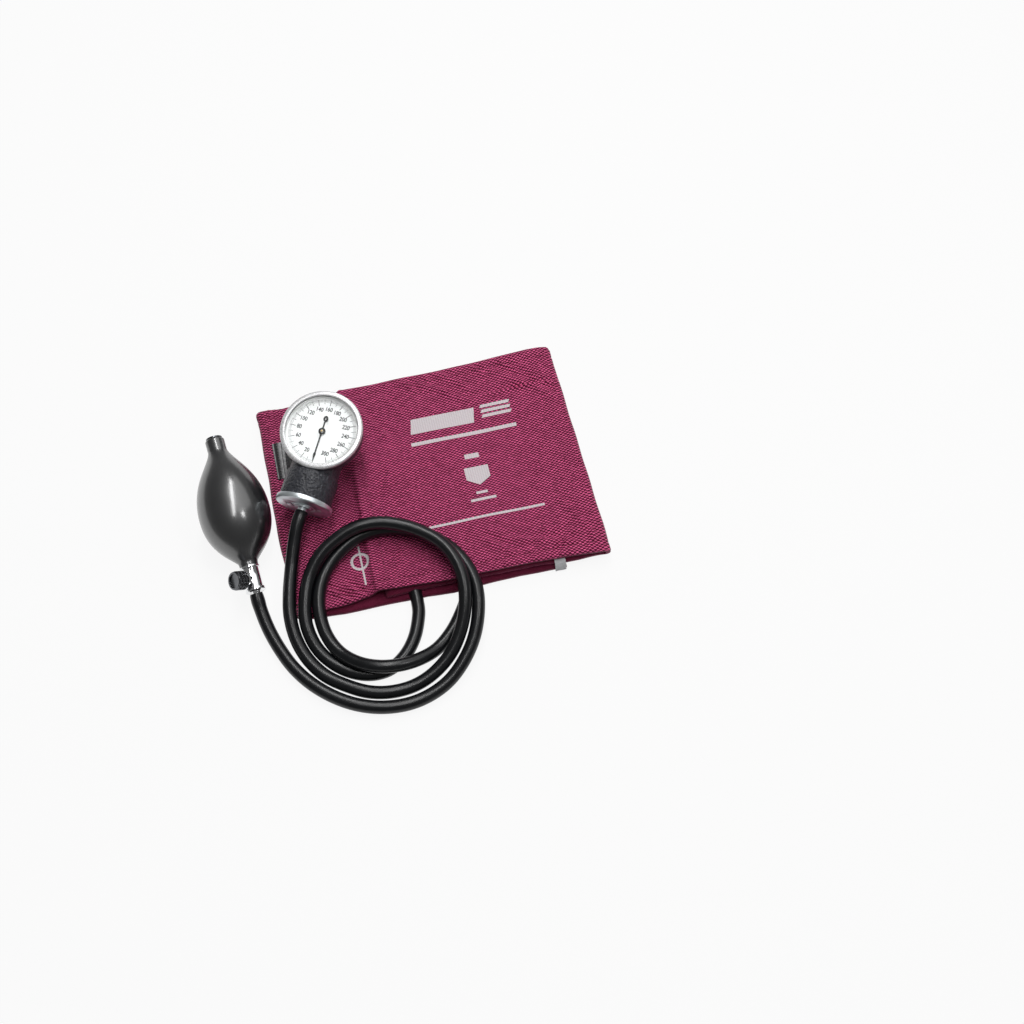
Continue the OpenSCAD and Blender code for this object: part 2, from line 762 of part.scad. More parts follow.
module base_cap() {
    hub = 1.1;
    neck = 1.7;
    edge = 0.8;
    holes = 10;
    groove_in = 6.6;
    groove_w = 0.9;
    groove_d = 0.5;
    color("#c9c9cc") at_gauge() difference() {
        union() {
            translate([0, cap_t, 0]) rotate([90, 0, 0]) rotate_extrude() {
                square([cap_r, cap_t - edge]);
                square([cap_r - edge, cap_t]);
                intersection() {
                    translate([cap_r - edge, cap_t - edge]) circle(edge, $fn = 48);
                    square(cap_r);
                }
            }
            along(cap_hub_r, -hub, 0.5);
            along(2.9, -hub - neck, 0);
            translate([0, -hub - neck, 0]) rotate([90, 0, 0]) barb(barb_r, 8, 3);
            difference() {
                along(barrel_in - seat, cap_t - 0.5, case_start + 2);
                along(barrel_in - 1, cap_t, case_start + 3);
            }
        }
        along(air_r, -hub - neck - 9, cap_t + over);
        for (x = [-holes, holes])
            translate([x, 0, 0]) along(1, -over, 1.5, $fn = 32);
        difference() {
            along(groove_in + groove_w, -over, groove_d);
            along(groove_in, -2 * over, groove_d + over);
        }
    }
}

module cap_seal() {
    color("#2a2a2a") at_gauge() difference() {
        along(barrel_r - 0.1, cap_t, case_start);
        along(barrel_in + seat, cap_t - over, case_start + over);
    }
}

// Spring strip under the barrel, with a rolled free end
module gauge_clip() {
    color("#bfc2c6") at_gauge() difference() {
        union() {
            translate([-clip_w / 2, clip_end - clip_len, clip_z - clip_t])
                cube([clip_w, clip_len, clip_t]);
            translate([-clip_w / 2, clip_end - clip_len, clip_z - clip_t])
                rotate([0, 90, 0]) cylinder(r = clip_t, h = clip_w, $fn = 48);
        }
        for (y = rivet_y)
            translate([0, y, clip_z - clip_t - over])
                cylinder(r = rivet_r, h = clip_t + 2 * over, $fn = 32);
    }
}

module clip_rivets() {
    color("#a8abb0") at_gauge() for (y = rivet_y) translate([0, y, clip_z - clip_t]) {
        cylinder(r = rivet_r - 0.02, h = clip_t + 1.3, $fn = 32);
        translate([0, 0, -0.5]) cylinder(r1 = 1, r2 = 1.5, h = 0.5, $fn = 32);
    }
}

// Height of the plane halfway between barrel and clip, over the point x, y
function loop_z(x, y) =
    let (
        nx = sin(gauge_heading) * sin(gauge_tilt),
        ny = -cos(gauge_heading) * sin(gauge_tilt),
        d = -neck_out - clip_gap / 2 - nx * (x - gauge_x) - ny * (y - gauge_y)
    )
    gauge_z + d / cos(gauge_tilt);
function axis_x(y) = gauge_x - (y - gauge_y) * tan(gauge_heading);
function loop_y(v, width) = loop_front + width * v;
// The loop's middle line at the share v of its width, from its left end to its right
function loop_points(v) =
    let (
        rise = loop_t / 2 + seat,
        flat = clip_w / 2 + 2,
        y0 = loop_y(v, loop_w),
        y1 = loop_y(v, loop_pinch),
        a = axis_x(y1),
        end = a + flat + loop_drop
    )
    [
        [-loop_left, y0, face_z(-loop_left) + rise],
        [-loop_left + loop_sewn, y0, face_z(-loop_left + loop_sewn) + rise],
        [a - flat, y1, loop_z(a - flat, y1)], [a + flat, y1, loop_z(a + flat, y1)],
        [end - loop_lap, y1, face_z(end - loop_lap / 2) + rise + 0.5],
        [end, y1, face_z(end) + rise + 0.3]
    ];

// Webbing loop: sewn down on the cuff at both ends, run between barrel and clip
module gauge_loop() {
    strips = 8;
    lines = [for (j = [0:strips]) loop_points(j / strips)];
    n = len(lines[0]);
    m = strips + 1;
    up = [0, 0, loop_t / 2];
    // Number of the point at station i and strip j, on the lower or the upper face
    function at(i, j, face) = face * n * m + i * m + j;
    function quad(a, b, c, d) = [[a, b, c], [a, c, d]];
    color("#26282a") polyhedron(
        points = [for (s = [-1, 1], i = [0:n - 1], j = [0:strips]) lines[j][i] + s * up],
        faces = concat(
            [for (i = [0:n - 2], j = [0:strips - 1]) each
                quad(at(i, j, 0), at(i + 1, j, 0), at(i + 1, j + 1, 0), at(i, j + 1, 0))],
            [for (i = [0:n - 2], j = [0:strips - 1]) each
                quad(at(i, j, 1), at(i, j + 1, 1), at(i + 1, j + 1, 1), at(i + 1, j, 1))],
            [for (i = [0:n - 2]) each
                quad(at(i, 0, 0), at(i, 0, 1), at(i + 1, 0, 1), at(i + 1, 0, 0))],
            [for (i = [0:n - 2]) each
                quad(at(i, strips, 0), at(i + 1, strips, 0), at(i + 1, strips, 1),
                    at(i, strips, 1))],
            [for (j = [0:strips - 1]) each
                quad(at(0, j, 0), at(0, j + 1, 0), at(0, j + 1, 1), at(0, j, 1))],
            [for (j = [0:strips - 1]) each
                quad(at(n - 1, j, 0), at(n - 1, j, 1), at(n - 1, j + 1, 1),
                    at(n - 1, j + 1, 0))]
        )
    );
}

// Half outline of the bulb as [radius, distance from the inlet], in two curves
function bezier(p, t) =
    pow(1 - t, 3) * p[0] + 3 * pow(1 - t, 2) * t * p[1] + 3 * (1 - t) * t * t * p[2]
    + pow(t, 3) * p[3];
function bulb_line(inset = 0) =
    let (
        k = bulb_len / 84.3,
        widest = [bulb_r - inset, 49 * k],
        upper = [[neck_r - inset, 8 * k], [7.7 - inset, 16 * k], [bulb_r - inset, 26 * k], widest],
        lower = [widest, [bulb_r - inset, 68 * k], [10.8 - inset, 75 * k], [6 - inset, 81 * k]]
    )
    concat(
        [for (i = [0:bulb_steps]) bezier(upper, i / bulb_steps)],
        [for (i = [1:bulb_steps]) bezier(lower, i / bulb_steps)]
    );

// The bulb's frame: +Z runs along its axis from the inlet to the outlet
module at_bulb(s = 0) {
    translate([bulb_x, bulb_y, bulb_z]) rotate([90 + bulb_slope, 0, bulb_heading])
        translate([0, 0, s]) children();
}

module bulb() {
    color("#17181a") at_bulb() difference() {
        rotate_extrude() polygon(concat(
            [[0, 0], [neck_r, 0]], bulb_line(), [[outlet_r, bulb_len], [0, bulb_len]]
        ));
        rotate_extrude() polygon(concat(
            [[0, 9]], bulb_line(bulb_wall), [[0, bulb_len - 4]]
        ));
        translate([0, 0, -over]) cylinder(r = neck_bore_r, h = bulb_len + 2 * over);
    }
}

module inlet_valve_body() {
    chamber = 3 * ball_r + check_travel;
    color("#c4c6c9") at_bulb() difference() {
        union() {
            translate([0, 0, -inlet_flange_t]) cylinder(r = neck_r - 0.9, h = inlet_flange_t);
            cylinder(r = spigot_r, h = 9.5);
        }
        translate([0, 0, -inlet_flange_t - over]) cylinder(r = 1, h = 14, $fn = 32);
        translate([0, 0, 2.5]) cylinder(r = ball_r + slide_fit, h = chamber, $fn = 48);
        translate([0, 0, -inlet_flange_t - over]) cylinder(r = 2.5, h = over + 0.6, $fn = 48);
    }
}

module inlet_valve_ball() {
    color("#d8dadd") at_bulb(2.5 + ball_r + 0.02) sphere(ball_r, $fn = 48);
}

// Dust screen with seven holes in the inlet's counterbore
module inlet_screen() {
    color("#9fa3a8") at_bulb(-inlet_flange_t) difference() {
        translate([0, 0, 0.15]) cylinder(r = 2.5 - seat, h = 0.4, $fn = 48);
        translate([0, 0, -over]) for (i = [0:6])
            rotate([0, 0, 60 * i]) translate([i == 6 ? 0 : 1.5, 0, 0])
                cylinder(r = 0.4, h = 3, $fn = 24);
    }
}

module at_valve(s = 0) {
    at_bulb(bulb_len + s) children();
}

// The thumbscrew's frame: +Z points out of the valve's side
module at_screw(h = 0) {
    at_valve(screw_s) rotate([0, 0, knob_turn]) rotate([0, 90, 0])
        translate([0, 0, h]) children();
}

module release_valve_body() {
    flange = 1.2;
    foot = 1.7;
    color("#cfd1d4") difference() {
        union() {
            at_valve() {
                translate([0, 0, -spigot_len]) cylinder(r = spigot_r, h = spigot_len + 1);
                cylinder(r = valve_r + 0.9, h = flange);
                cylinder(r = valve_r, h = valve_len);
                translate([0, 0, valve_len - foot]) cylinder(r = valve_r + 0.75, h = foot);
                translate([0, 0, valve_len]) barb(barb_r + 0.6, 3, 1);
                translate([0, 0, valve_len + 2]) barb(barb_r, 9, 3);
            }
            at_screw() cylinder(r = boss_r, h = boss_out);
        }
        at_valve() {
            translate([0, 0, -spigot_len - over])
                cylinder(r = main_bore, h = spigot_len + valve_len + 14, $fn = 48);
            translate([0, 0, -spigot_len + 1.5])
                cylinder(r = chamber_r, h = disc_t + check_travel + 0.2, $fn = 48);
        }
        at_screw() cylinder(r = shank_r + play, h = boss_out + over, $fn = 48);
        at_screw(boss_out - packing_t) cylinder(r = packing_r + seat, h = packing_t + over);
        at_screw(boss_out - packing_t - 1.2) rotate([90, 0, 0])
            translate([0, 0, -valve_r - over]) cylinder(r = 0.5, h = 2 * (valve_r + over), $fn = 32);
    }
}

module outlet_check_disc() {
    color("#5a3b2c") at_valve(-spigot_len + 1.55) cylinder(r = disc_r, h = disc_t, $fn = 48);
}

module valve_collar() {
    color("#8f9296") at_screw(boss_out) difference() {
        cylinder(r = boss_r + 0.6, h = collar_t);
        translate([0, 0, -over]) cylinder(r = shank_r + play, h = collar_t + 2 * over, $fn = 48);
    }
}

module screw_packing() {
    color("#3a3a3a") at_screw(boss_out - packing_t) difference() {
        cylinder(r = packing_r, h = packing_t, $fn = 48);
        translate([0, 0, -over]) cylinder(r = shank_r + play, h = packing_t + 2 * over, $fn = 48);
    }
}

// Thumbscrew: a knob with three milled bands, a shank and a conical tip
module release_screw() {
    start = boss_out + collar_t + 0.2;
    length = knob_face - start;
    bands = 3;
    flutes = 30;
    groove = 0.6;
    band_len = (length - (bands - 1) * groove - 1) / bands;
    tip = main_bore + 0.5;
    color("#4b4e52") {
        at_screw(start) difference() {
            union() {
                cylinder(r = knob_r - 0.4, h = length);
                for (i = [0:bands - 1])
                    translate([0, 0, i * (band_len + groove)]) linear_extrude(band_len)
                        polygon([for (k = [0:2 * flutes - 1])
                            (knob_r - (k % 2) * 0.3) * [cos(180 * k / flutes), sin(180 * k / flutes)]]);
            }
            translate([0, 0, length - 1]) cylinder(r = knob_r - 1.5, h = 1 + over);
        }
        at_screw(tip) {
            translate([0, 0, 1]) cylinder(r = shank_r, h = start - tip, $fn = 48);
            cylinder(r1 = 0.5, r2 = shank_r, h = 1, $fn = 48);
        }
    }
}

// Rings of a tube along its route; the end rings stand square to the route's end
function unit(v) = v / norm(v);
function heading(route, i) =
    let (n = len(route) - 1)
    unit(route[min(n, i + 1)] - route[max(0, i - 1)]);
function ring(route, i, r) =
    let (
        t = heading(route, i),
        side = unit(cross(t, [0, 0, 1])),
        up = cross(side, t)
    )
    [for (k = [0:tube_sides - 1]) let (a = 360 * k / tube_sides)
        route[i] + r * (sin(a) * side - cos(a) * up)];

module tube(route, r) {
    n = len(route);
    m = tube_sides;
    polyhedron(
        points = [for (i = [0:n - 1]) each ring(route, i, r)],
        faces = concat(
            [[for (k = [0:m - 1]) k]],
            [[for (k = [m - 1:-1:0]) (n - 1) * m + k]],
            [for (i = [0:n - 2], k = [0:m - 1]) each
                let (a = i * m + k, b = i * m + (k + 1) % m) [[a, a + m, b + m], [a, b + m, b]]]
        )
    );
}

module gauge_tube() {
    color("#1d1f21") tube(gauge_route, tube_r);
}

module bulb_tube() {
    color("#1d1f21") tube(bulb_route, tube_r);
}

cuff_outer_panel();
cuff_inner_panel();
bladder();
loop_patch();
hook_patch();
size_tag();
gauge_loop();
gauge_case();
gauge_bezel();
gauge_crystal();
crystal_gasket();
dial_plate();
pointer();
pinion_arbor();
sector_gear();
hairspring();
movement_back_plate();
movement_front_plate();
movement_pillars();
movement_screws();
push_pin();
pressure_capsule();
base_cap();
cap_seal();
gauge_clip();
clip_rivets();
bulb();
inlet_valve_body();
inlet_valve_ball();
inlet_screen();
release_valve_body();
valve_collar();
release_screw();
screw_packing();
outlet_check_disc();
gauge_tube();
bulb_tube();
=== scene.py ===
import math
import bmesh
import bpy
import numpy as np
from mathutils import Matrix, Vector

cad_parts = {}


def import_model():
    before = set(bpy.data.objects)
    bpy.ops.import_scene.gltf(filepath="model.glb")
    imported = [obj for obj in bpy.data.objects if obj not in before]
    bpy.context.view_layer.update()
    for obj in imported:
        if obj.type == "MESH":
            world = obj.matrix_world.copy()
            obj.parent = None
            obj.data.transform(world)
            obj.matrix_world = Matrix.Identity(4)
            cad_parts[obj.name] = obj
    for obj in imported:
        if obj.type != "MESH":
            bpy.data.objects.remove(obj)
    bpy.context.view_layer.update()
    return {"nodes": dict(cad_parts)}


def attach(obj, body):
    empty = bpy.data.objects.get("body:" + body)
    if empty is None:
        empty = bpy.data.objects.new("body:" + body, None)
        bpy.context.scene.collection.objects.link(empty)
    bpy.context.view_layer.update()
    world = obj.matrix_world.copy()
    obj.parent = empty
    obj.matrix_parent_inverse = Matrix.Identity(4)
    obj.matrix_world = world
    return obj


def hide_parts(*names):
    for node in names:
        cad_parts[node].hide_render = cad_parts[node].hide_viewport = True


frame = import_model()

# Lengths in this script are millimetres, as in the part's source; meshes are made in metres.
MM = 0.001
NODES = frame["nodes"]
BASE = "cuff_and_cases"
scene = bpy.context.scene
scene.view_settings.view_transform = "Standard"


def linked(name, data):
    """A new object in the scene."""
    made = bpy.data.objects.new(name, data)
    scene.collection.objects.link(made)
    return made


def aimed(item, eye, target):
    """Puts a camera or a lamp at eye and turns it to the target, both in metres."""
    item.location = eye
    item.rotation_euler = (Vector(target) - Vector(eye)).to_track_quat("-Z", "Y").to_euler()


# Camera: the photograph's place and lens
def look_from(eye, target, lens):
    data = bpy.data.cameras.new("camera")
    data.lens, data.sensor_width = lens, 36
    data.clip_start, data.clip_end = 0.01, 50
    scene.camera = linked("camera", data)
    aimed(scene.camera, Vector(eye) * MM, Vector(target) * MM)


look_from((-20.3, -411.7, 801.1), (68.9, -31.3, 0), 50)


# Node trees
class Tree:
    """Adds nodes to a shader or geometry tree and joins them by their sockets."""

    def __init__(self, tree):
        self.tree = tree

    def put(self, socket, value):
        if isinstance(value, bpy.types.NodeSocket):
            self.tree.links.new(value, socket)
        else:
            socket.default_value = value

    def fill(self, node, values):
        for key, value in values.items():
            self.put(node.inputs[key], value)
        return node

    def add(self, kind, inputs=None, **settings):
        node = self.tree.nodes.new(kind)
        for key, value in settings.items():
            setattr(node, key, value)
        return self.fill(node, inputs or {})

    def math(self, operation, *values, clamp=False):
        node = self.add("ShaderNodeMath", operation=operation, use_clamp=clamp)
        return self.fill(node, dict(enumerate(values))).outputs[0]

    def times(self, a, b, clamp=False):
        return self.math("MULTIPLY", a, b, clamp=clamp)

    def plus(self, a, b):
        return self.math("ADD", a, b)

    def minus(self, a, b):
        return self.math("SUBTRACT", a, b)

    def most(self, a, b):
        return self.math("MAXIMUM", a, b)

    def line(self, value, slope, start, clamp=False):
        return self.math("MULTIPLY_ADD", value, slope, start, clamp=clamp)

    def vector(self, *parts):
        return self.add("ShaderNodeCombineXYZ", dict(enumerate(parts))).outputs[0]

    def parts(self, vector):
        return self.add("ShaderNodeSeparateXYZ", {0: vector}).outputs

    def noise(self, vector, scale, detail):
        node = self.add("ShaderNodeTexNoise", {"Vector": vector, "Scale": scale, "Detail": detail})
        return node.outputs["Fac"]

    def blend(self, factor, a, b):
        node = self.add("ShaderNodeMix", {0: factor}, data_type="RGBA", clamp_factor=True)
        return self.fill(node, {6: a, 7: b}).outputs[2]

    def steps(self, factor, *stops):
        node = self.add("ShaderNodeValToRGB", {0: factor})
        ramp = node.color_ramp
        while len(ramp.elements) < len(stops):
            ramp.elements.new(0.5)
        for element, (place, colour) in zip(ramp.elements, stops):
            element.position = place
            element.color = (*colour, 1)
        return node.outputs[0]


def rgb(*values):
    return (*values, 1.0)


def toned(colour, by):
    return tuple(by * c for c in colour)


def new_group(name, ins, outs, kind="ShaderNodeTree"):
    """A node group from its inputs [label, kind, value if any] and its outputs [label, kind]."""
    group = bpy.data.node_groups.new(name, kind)
    for label, socket, *value in ins:
        made = group.interface.new_socket(name=label, in_out="INPUT", socket_type="NodeSocket" + socket)
        if value:
            made.default_value = value[0]
    for label, socket in outs:
        group.interface.new_socket(name=label, in_out="OUTPUT", socket_type="NodeSocket" + socket)
    tree = Tree(group)
    return group, tree, tree.add("NodeGroupInput").outputs, tree.add("NodeGroupOutput")


def make_weave_group():
    """Plain weave of round threads: height, which thread is on top, its own shade and its thick places."""
    group, t, inp, out = new_group(
        "woven threads", [("Place", "Vector"), ("Thread", "Float", 0.0005)],
        [("Height", "Float"), ("Over", "Float"), ("Shade", "Float"), ("Slub", "Float")])
    split = t.parts(inp["Place"])
    u, v = (t.math("DIVIDE", split[i], inp["Thread"]) for i in (0, 1))
    au, av = (t.math("ABSOLUTE", t.math("SINE", t.times(w, math.pi))) for w in (u, v))
    rising, falling = (t.math("COSINE", t.times(w, math.pi)) for w in (t.minus(u, v), t.plus(u, v)))
    over = t.math("GREATER_THAN", t.times(rising, 0.85), t.times(falling, 1.15))
    under = t.minus(1.0, over)

    def rounded(across, along):
        return t.times(t.math("POWER", across, 0.6), t.line(along, 0.5, 0.5))

    def upper(weft, warp):
        return t.plus(t.times(weft, over), t.times(warp, under))

    row, column = t.math("FLOOR", v), t.math("FLOOR", u)
    shade = t.add("ShaderNodeTexWhiteNoise", {0: t.vector(column, row)}, noise_dimensions="3D")
    # Thick and thin places run a few crossings along each thread
    warp_slub = t.noise(t.vector(t.times(column, 3.7), t.times(v, 0.22)), 1.0, 1.0)
    weft_slub = t.noise(t.vector(t.times(u, 0.22), t.times(row, 3.7), 9.0), 1.0, 1.0)
    t.fill(out, {"Height": upper(rounded(av, au), rounded(au, av)), "Over": over,
                 "Shade": shade.outputs["Value"], "Slub": upper(weft_slub, warp_slub)})
    return group


def sized_place(t, inp):
    node = t.add("ShaderNodeVectorMath", {0: inp["Place"]}, operation="SCALE")
    t.put(node.inputs[3], t.math("DIVIDE", 1.0, inp["Size"]))
    return node.outputs[0]


def make_grain_group():
    """Fine moulded or sprayed grain, with a slower mottling of its own."""
    group, t, inp, out = new_group(
        "fine grain", [("Place", "Vector"), ("Size", "Float", 0.0004)],
        [("Height", "Float"), ("Mottle", "Float")])
    place = sized_place(t, inp)
    t.fill(out, {"Height": t.noise(place, 1.0, 2.0), "Mottle": t.noise(place, 0.06, 3.0)})
    return group


def make_wear_group():
    """Handling marks: thin scuffs and a film of dust, both as masks."""
    group, t, inp, out = new_group(
        "handling marks", [("Place", "Vector"), ("Size", "Float", 0.004)],
        [("Scuffs", "Float"), ("Dust", "Float")])
    place = sized_place(t, inp)
    streak = t.add("ShaderNodeMapping", {0: place, "Rotation": (0.4, 0.2, 0.7), "Scale": (0.35, 5.0, 1.2)})
    lines = t.noise(streak.outputs[0], 1.0, 4.0)
    film = t.noise(place, 0.5, 5.0)
    t.fill(out, {
        "Scuffs": t.math("SMOOTH_MIN", t.times(t.most(t.minus(lines, 0.62), 0.0), 9.0), 1.0, 0.1),
        "Dust": t.times(t.most(t.minus(film, 0.45), 0.0), 2.2, clamp=True)})
    return group


WEAVE = make_weave_group()
GRAIN = make_grain_group()
WEAR = make_wear_group()


def empty_tree(owner):
    owner.use_nodes = True
    owner.node_tree.nodes.clear()
    return Tree(owner.node_tree)


def start_material(name):
    """A material, its tree, its shader, the places to hang texture on, and its output node."""
    material = bpy.data.materials.new(name)
    t = empty_tree(material)
    shader = t.add("ShaderNodeBsdfPrincipled")
    out = t.add("ShaderNodeOutputMaterial", {"Surface": shader.outputs[0]})
    return material, t, shader, t.add("ShaderNodeTexCoord").outputs, out


def use_group(t, group, place, **values):
    return t.add("ShaderNodeGroup", {"Place": place, **values}, node_tree=group).outputs


def bump(t, shader, height, distance, strength=1.0):
    node = t.add("ShaderNodeBump", {"Height": height, "Distance": distance * MM, "Strength": strength})
    t.put(shader.inputs["Normal"], node.outputs[0])


# The cuff's cloth map holds this many millimetres along and across
UV_SPAN = 600.0


def cloth_place(t, at, wide=1.0):
    """The piece's own UV map, as metres along and across the cloth, for threads that lie wide times as far
    apart along it as across."""
    span = UV_SPAN * MM
    return t.add("ShaderNodeMapping", {0: at["UV"], "Scale": (span / wide, span, span)}).outputs[0]


def cloth_material(name, gap, thread, shine, size, rough, depth, sheen, prints=None, wide=1.0, gloss=0.1):
    """Woven cloth: painted shade darkens the gaps between threads, and a painted highlight lightens the
    threads that pass over.
    """
    material, t, shader, at, _ = start_material(name)
    woven = use_group(t, WEAVE, cloth_place(t, at, wide), Thread=size)
    worn = use_group(t, WEAR, at["Object"], Size=0.012)
    # Painted shade: each thread's colour falls to the gap colour where it dips between its neighbours
    body = t.steps(woven["Height"], (0.20, gap), (0.85, thread))
    # Painted highlight: the threads that pass over rise from the gap colour to the shine colour
    painted_sheen = t.steps(woven["Height"], (0.12, gap), (0.55, shine))
    colour = t.blend(woven["Over"], body, painted_sheen)
    colour = t.blend(t.line(woven["Slub"], -1.1, 0.66, clamp=True), colour, rgb(*gap))
    colour = t.blend(t.times(woven["Shade"], 0.22), colour, rgb(*gap))
    # Dust lightens the cloth towards the painted highlight's shine colour
    colour = t.blend(t.times(worn["Dust"], 0.04), colour, rgb(*shine))
    if prints:
        ink = t.times(prints(t, at), t.line(woven["Height"], 0.35, 0.68, clamp=True))
        colour = t.blend(ink, colour, rgb(0.80, 0.77, 0.79))
    t.fill(shader, {
        "Base Color": colour, "Roughness": t.line(woven["Shade"], 0.12, rough), "Sheen Weight": sheen,
        "Sheen Roughness": 0.4, "Specular IOR Level": gloss, "Specular Tint": rgb(1.0, 0.30, 0.50)})
    bump(t, shader, woven["Height"], depth)
    return material


# Heights above which the prints show: on three layers of cuff, and on two
FACE_PRINT_Z, ARTERY_PRINT_Z = 11.2, 7.3
PATCH_X, PATCH_TOP, PATCH_TIP, PATCH_SLOPE = 52.6, -1.0, -14.2, 0.62
ARTERY_X, ARTERY_Y = -30.0, -47.1


def cuff_prints(t, at):
    """Plain white marks on the cuff's face: bars, a five-sided patch, a rule, and the artery mark."""
    x, y, z = (t.math("DIVIDE", o, MM) for o in t.parts(at["Object"]))

    def near(value, middle, half):
        return t.math("LESS_THAN", t.math("ABSOLUTE", t.minus(value, middle)), half)

    def bar(cx, cy, half_x, half_y, lean=0.0):
        return t.times(near(t.line(y, -lean, t.plus(x, lean * cy)), cx, half_x), near(y, cy, half_y))

    slope = t.times(t.math("ABSOLUTE", t.minus(x, PATCH_X)), PATCH_SLOPE)
    total = t.times(near(x, PATCH_X, 7.6), t.times(
        t.math("LESS_THAN", y, PATCH_TOP), t.math("GREATER_THAN", t.minus(y, slope), PATCH_TIP)))
    for mark in (
            (39.0, 35.6, 20.5, 5.4, 0.18), (74.0, 40.6, 9.5, 1.1, 0.5), (74.0, 37.0, 9.5, 1.1, 0.5),
            (74.0, 33.4, 9.5, 1.1, 0.5), (50.4, 22.8, 34.0, 1.25), (51.8, 7.0, 4.6, 1.7),
            (52.6, -19.6, 3.6, 0.9), (52.6, -24.4, 8.0, 0.9), (52.0, -36.2, 36.5, 0.8)):
        total = t.most(total, bar(*mark))
    total = t.times(total, t.math("GREATER_THAN", z, FACE_PRINT_Z))
    dx, dy = t.minus(x, ARTERY_X), t.minus(y, ARTERY_Y)
    away = t.math("SQRT", t.plus(t.times(dx, dx), t.times(dy, dy)))
    artery = t.most(near(away, 5.0, 0.8), bar(-29.2, -49.8, 0.6, 13.2))
    return t.most(total, t.times(artery, t.math("GREATER_THAN", z, ARTERY_PRINT_Z)))


def rubber_material(name, base, rough=0.5, coat=0.0, grain=0.3, depth=0.02, dust=0.1, level=0.5):
    """Moulded rubber or thread: fine grain, a film of dust and, where coat is set, a glossy skin."""
    material, t, shader, at, _ = start_material(name)
    fine = use_group(t, GRAIN, at["Object"], Size=grain * MM)
    worn = use_group(t, WEAR, at["Object"], Size=0.006)
    colour = t.steps(fine["Mottle"], (0.3, base), (0.75, toned(base, 1.6)))
    t.fill(shader, {
        "Base Color": t.blend(t.times(worn["Dust"], dust), colour, rgb(0.11, 0.11, 0.12)),
        "Roughness": t.line(worn["Scuffs"], 0.08, t.line(fine["Mottle"], 0.10, rough - 0.05)),
        "Coat Weight": coat, "Coat Roughness": 0.20, "Coat IOR": 1.95, "Specular IOR Level": level,
        "IOR": 1.47})
    bump(t, shader, fine["Height"], depth, 0.6)
    return material


def metal_material(name, base, rough, depth=0.01, brushed=0.0, grain=0.25, metal=1.0):
    """Plated or bare metal with a fine grain, stretched along Z where it is brushed."""
    material, t, shader, at, _ = start_material(name)
    stretched = t.add("ShaderNodeMapping", {0: at["Object"], "Scale": (1.0, 1.0, 1.0 + 12.0 * brushed)})
    fine = use_group(t, GRAIN, stretched.outputs[0], Size=grain * MM)
    worn = use_group(t, WEAR, at["Object"], Size=0.003)
    tone = t.steps(fine["Mottle"], (0.3, toned(base, 0.86)), (0.7, base))
    t.fill(shader, {
        "Base Color": t.blend(t.times(worn["Dust"], 0.12), tone, rgb(*toned(base, 0.55))),
        "Metallic": metal,
        "Roughness": t.plus(t.times(worn["Scuffs"], 0.14), t.line(fine["Height"], 0.05, rough))})
    bump(t, shader, fine["Height"], depth, 0.5)
    return material


def enamel_material(name, base, rough, grain, depth):
    """Sprayed enamel over a die casting: small soft dimples, painted darker in their hollows as painted shade
    and lighter on their rims as a painted highlight, with scuffs of wear.
    """
    material, t, shader, at, _ = start_material(name)
    fine = use_group(t, GRAIN, at["Object"], Size=grain * MM)
    worn = use_group(t, WEAR, at["Object"], Size=0.005)
    cells = t.add("ShaderNodeTexVoronoi", {
        "Vector": at["Object"], "Scale": 1.0 / (1.6 * grain * MM)}, feature="SMOOTH_F1")
    dimple = t.plus(t.times(cells.outputs["Distance"], 0.7), t.times(fine["Height"], 0.5))
    # Painted shade and highlight: the colour follows the dimples' relief, darker in the hollows and lighter on
    # the rims
    tone = t.steps(dimple, (0.25, toned(base, 0.55)), (0.75, toned(base, 1.5)))
    t.fill(shader, {
        "Base Color": t.blend(t.times(worn["Scuffs"], 0.25), tone, rgb(0.10, 0.105, 0.115)),
        "Roughness": t.line(fine["Mottle"], 0.15, rough)})
    bump(t, shader, dimple, depth)
    return material


def print_material(name, base, rough):
    """Printed or enamelled face with a faint mottle, for the dial and its marks."""
    material, t, shader, at, _ = start_material(name)
    fine = use_group(t, GRAIN, at["Object"], Size=0.0003)
    t.fill(shader, {
        "Base Color": t.steps(fine["Mottle"], (0.3, toned(base, 0.94)), (0.7, base)),
        "Roughness": t.line(fine["Height"], 0.1, rough)})
    bump(t, shader, fine["Height"], 0.01, 0.3)
    return material


def glass_material(name):
    """Clear glass that lets lamps shine straight through to the dial."""
    material, t, shader, at, out = start_material(name)
    fine = use_group(t, GRAIN, at["Object"], Size=0.004)
    t.fill(shader, {
        "Roughness": t.line(fine["Mottle"], 0.03, 0.0, clamp=True),
        "Base Color": rgb(0.97, 0.985, 0.99), "Transmission Weight": 1.0, "IOR": 1.4})
    bump(t, shader, fine["Height"], 0.004, 0.2)
    clear = t.add("ShaderNodeBsdfTransparent")
    rays = t.add("ShaderNodeLightPath")
    mix = t.add("ShaderNodeMixShader", {
        0: rays.outputs["Is Shadow Ray"], 1: shader.outputs[0], 2: clear.outputs[0]})
    t.put(out.inputs["Surface"], mix.outputs[0])
    return material


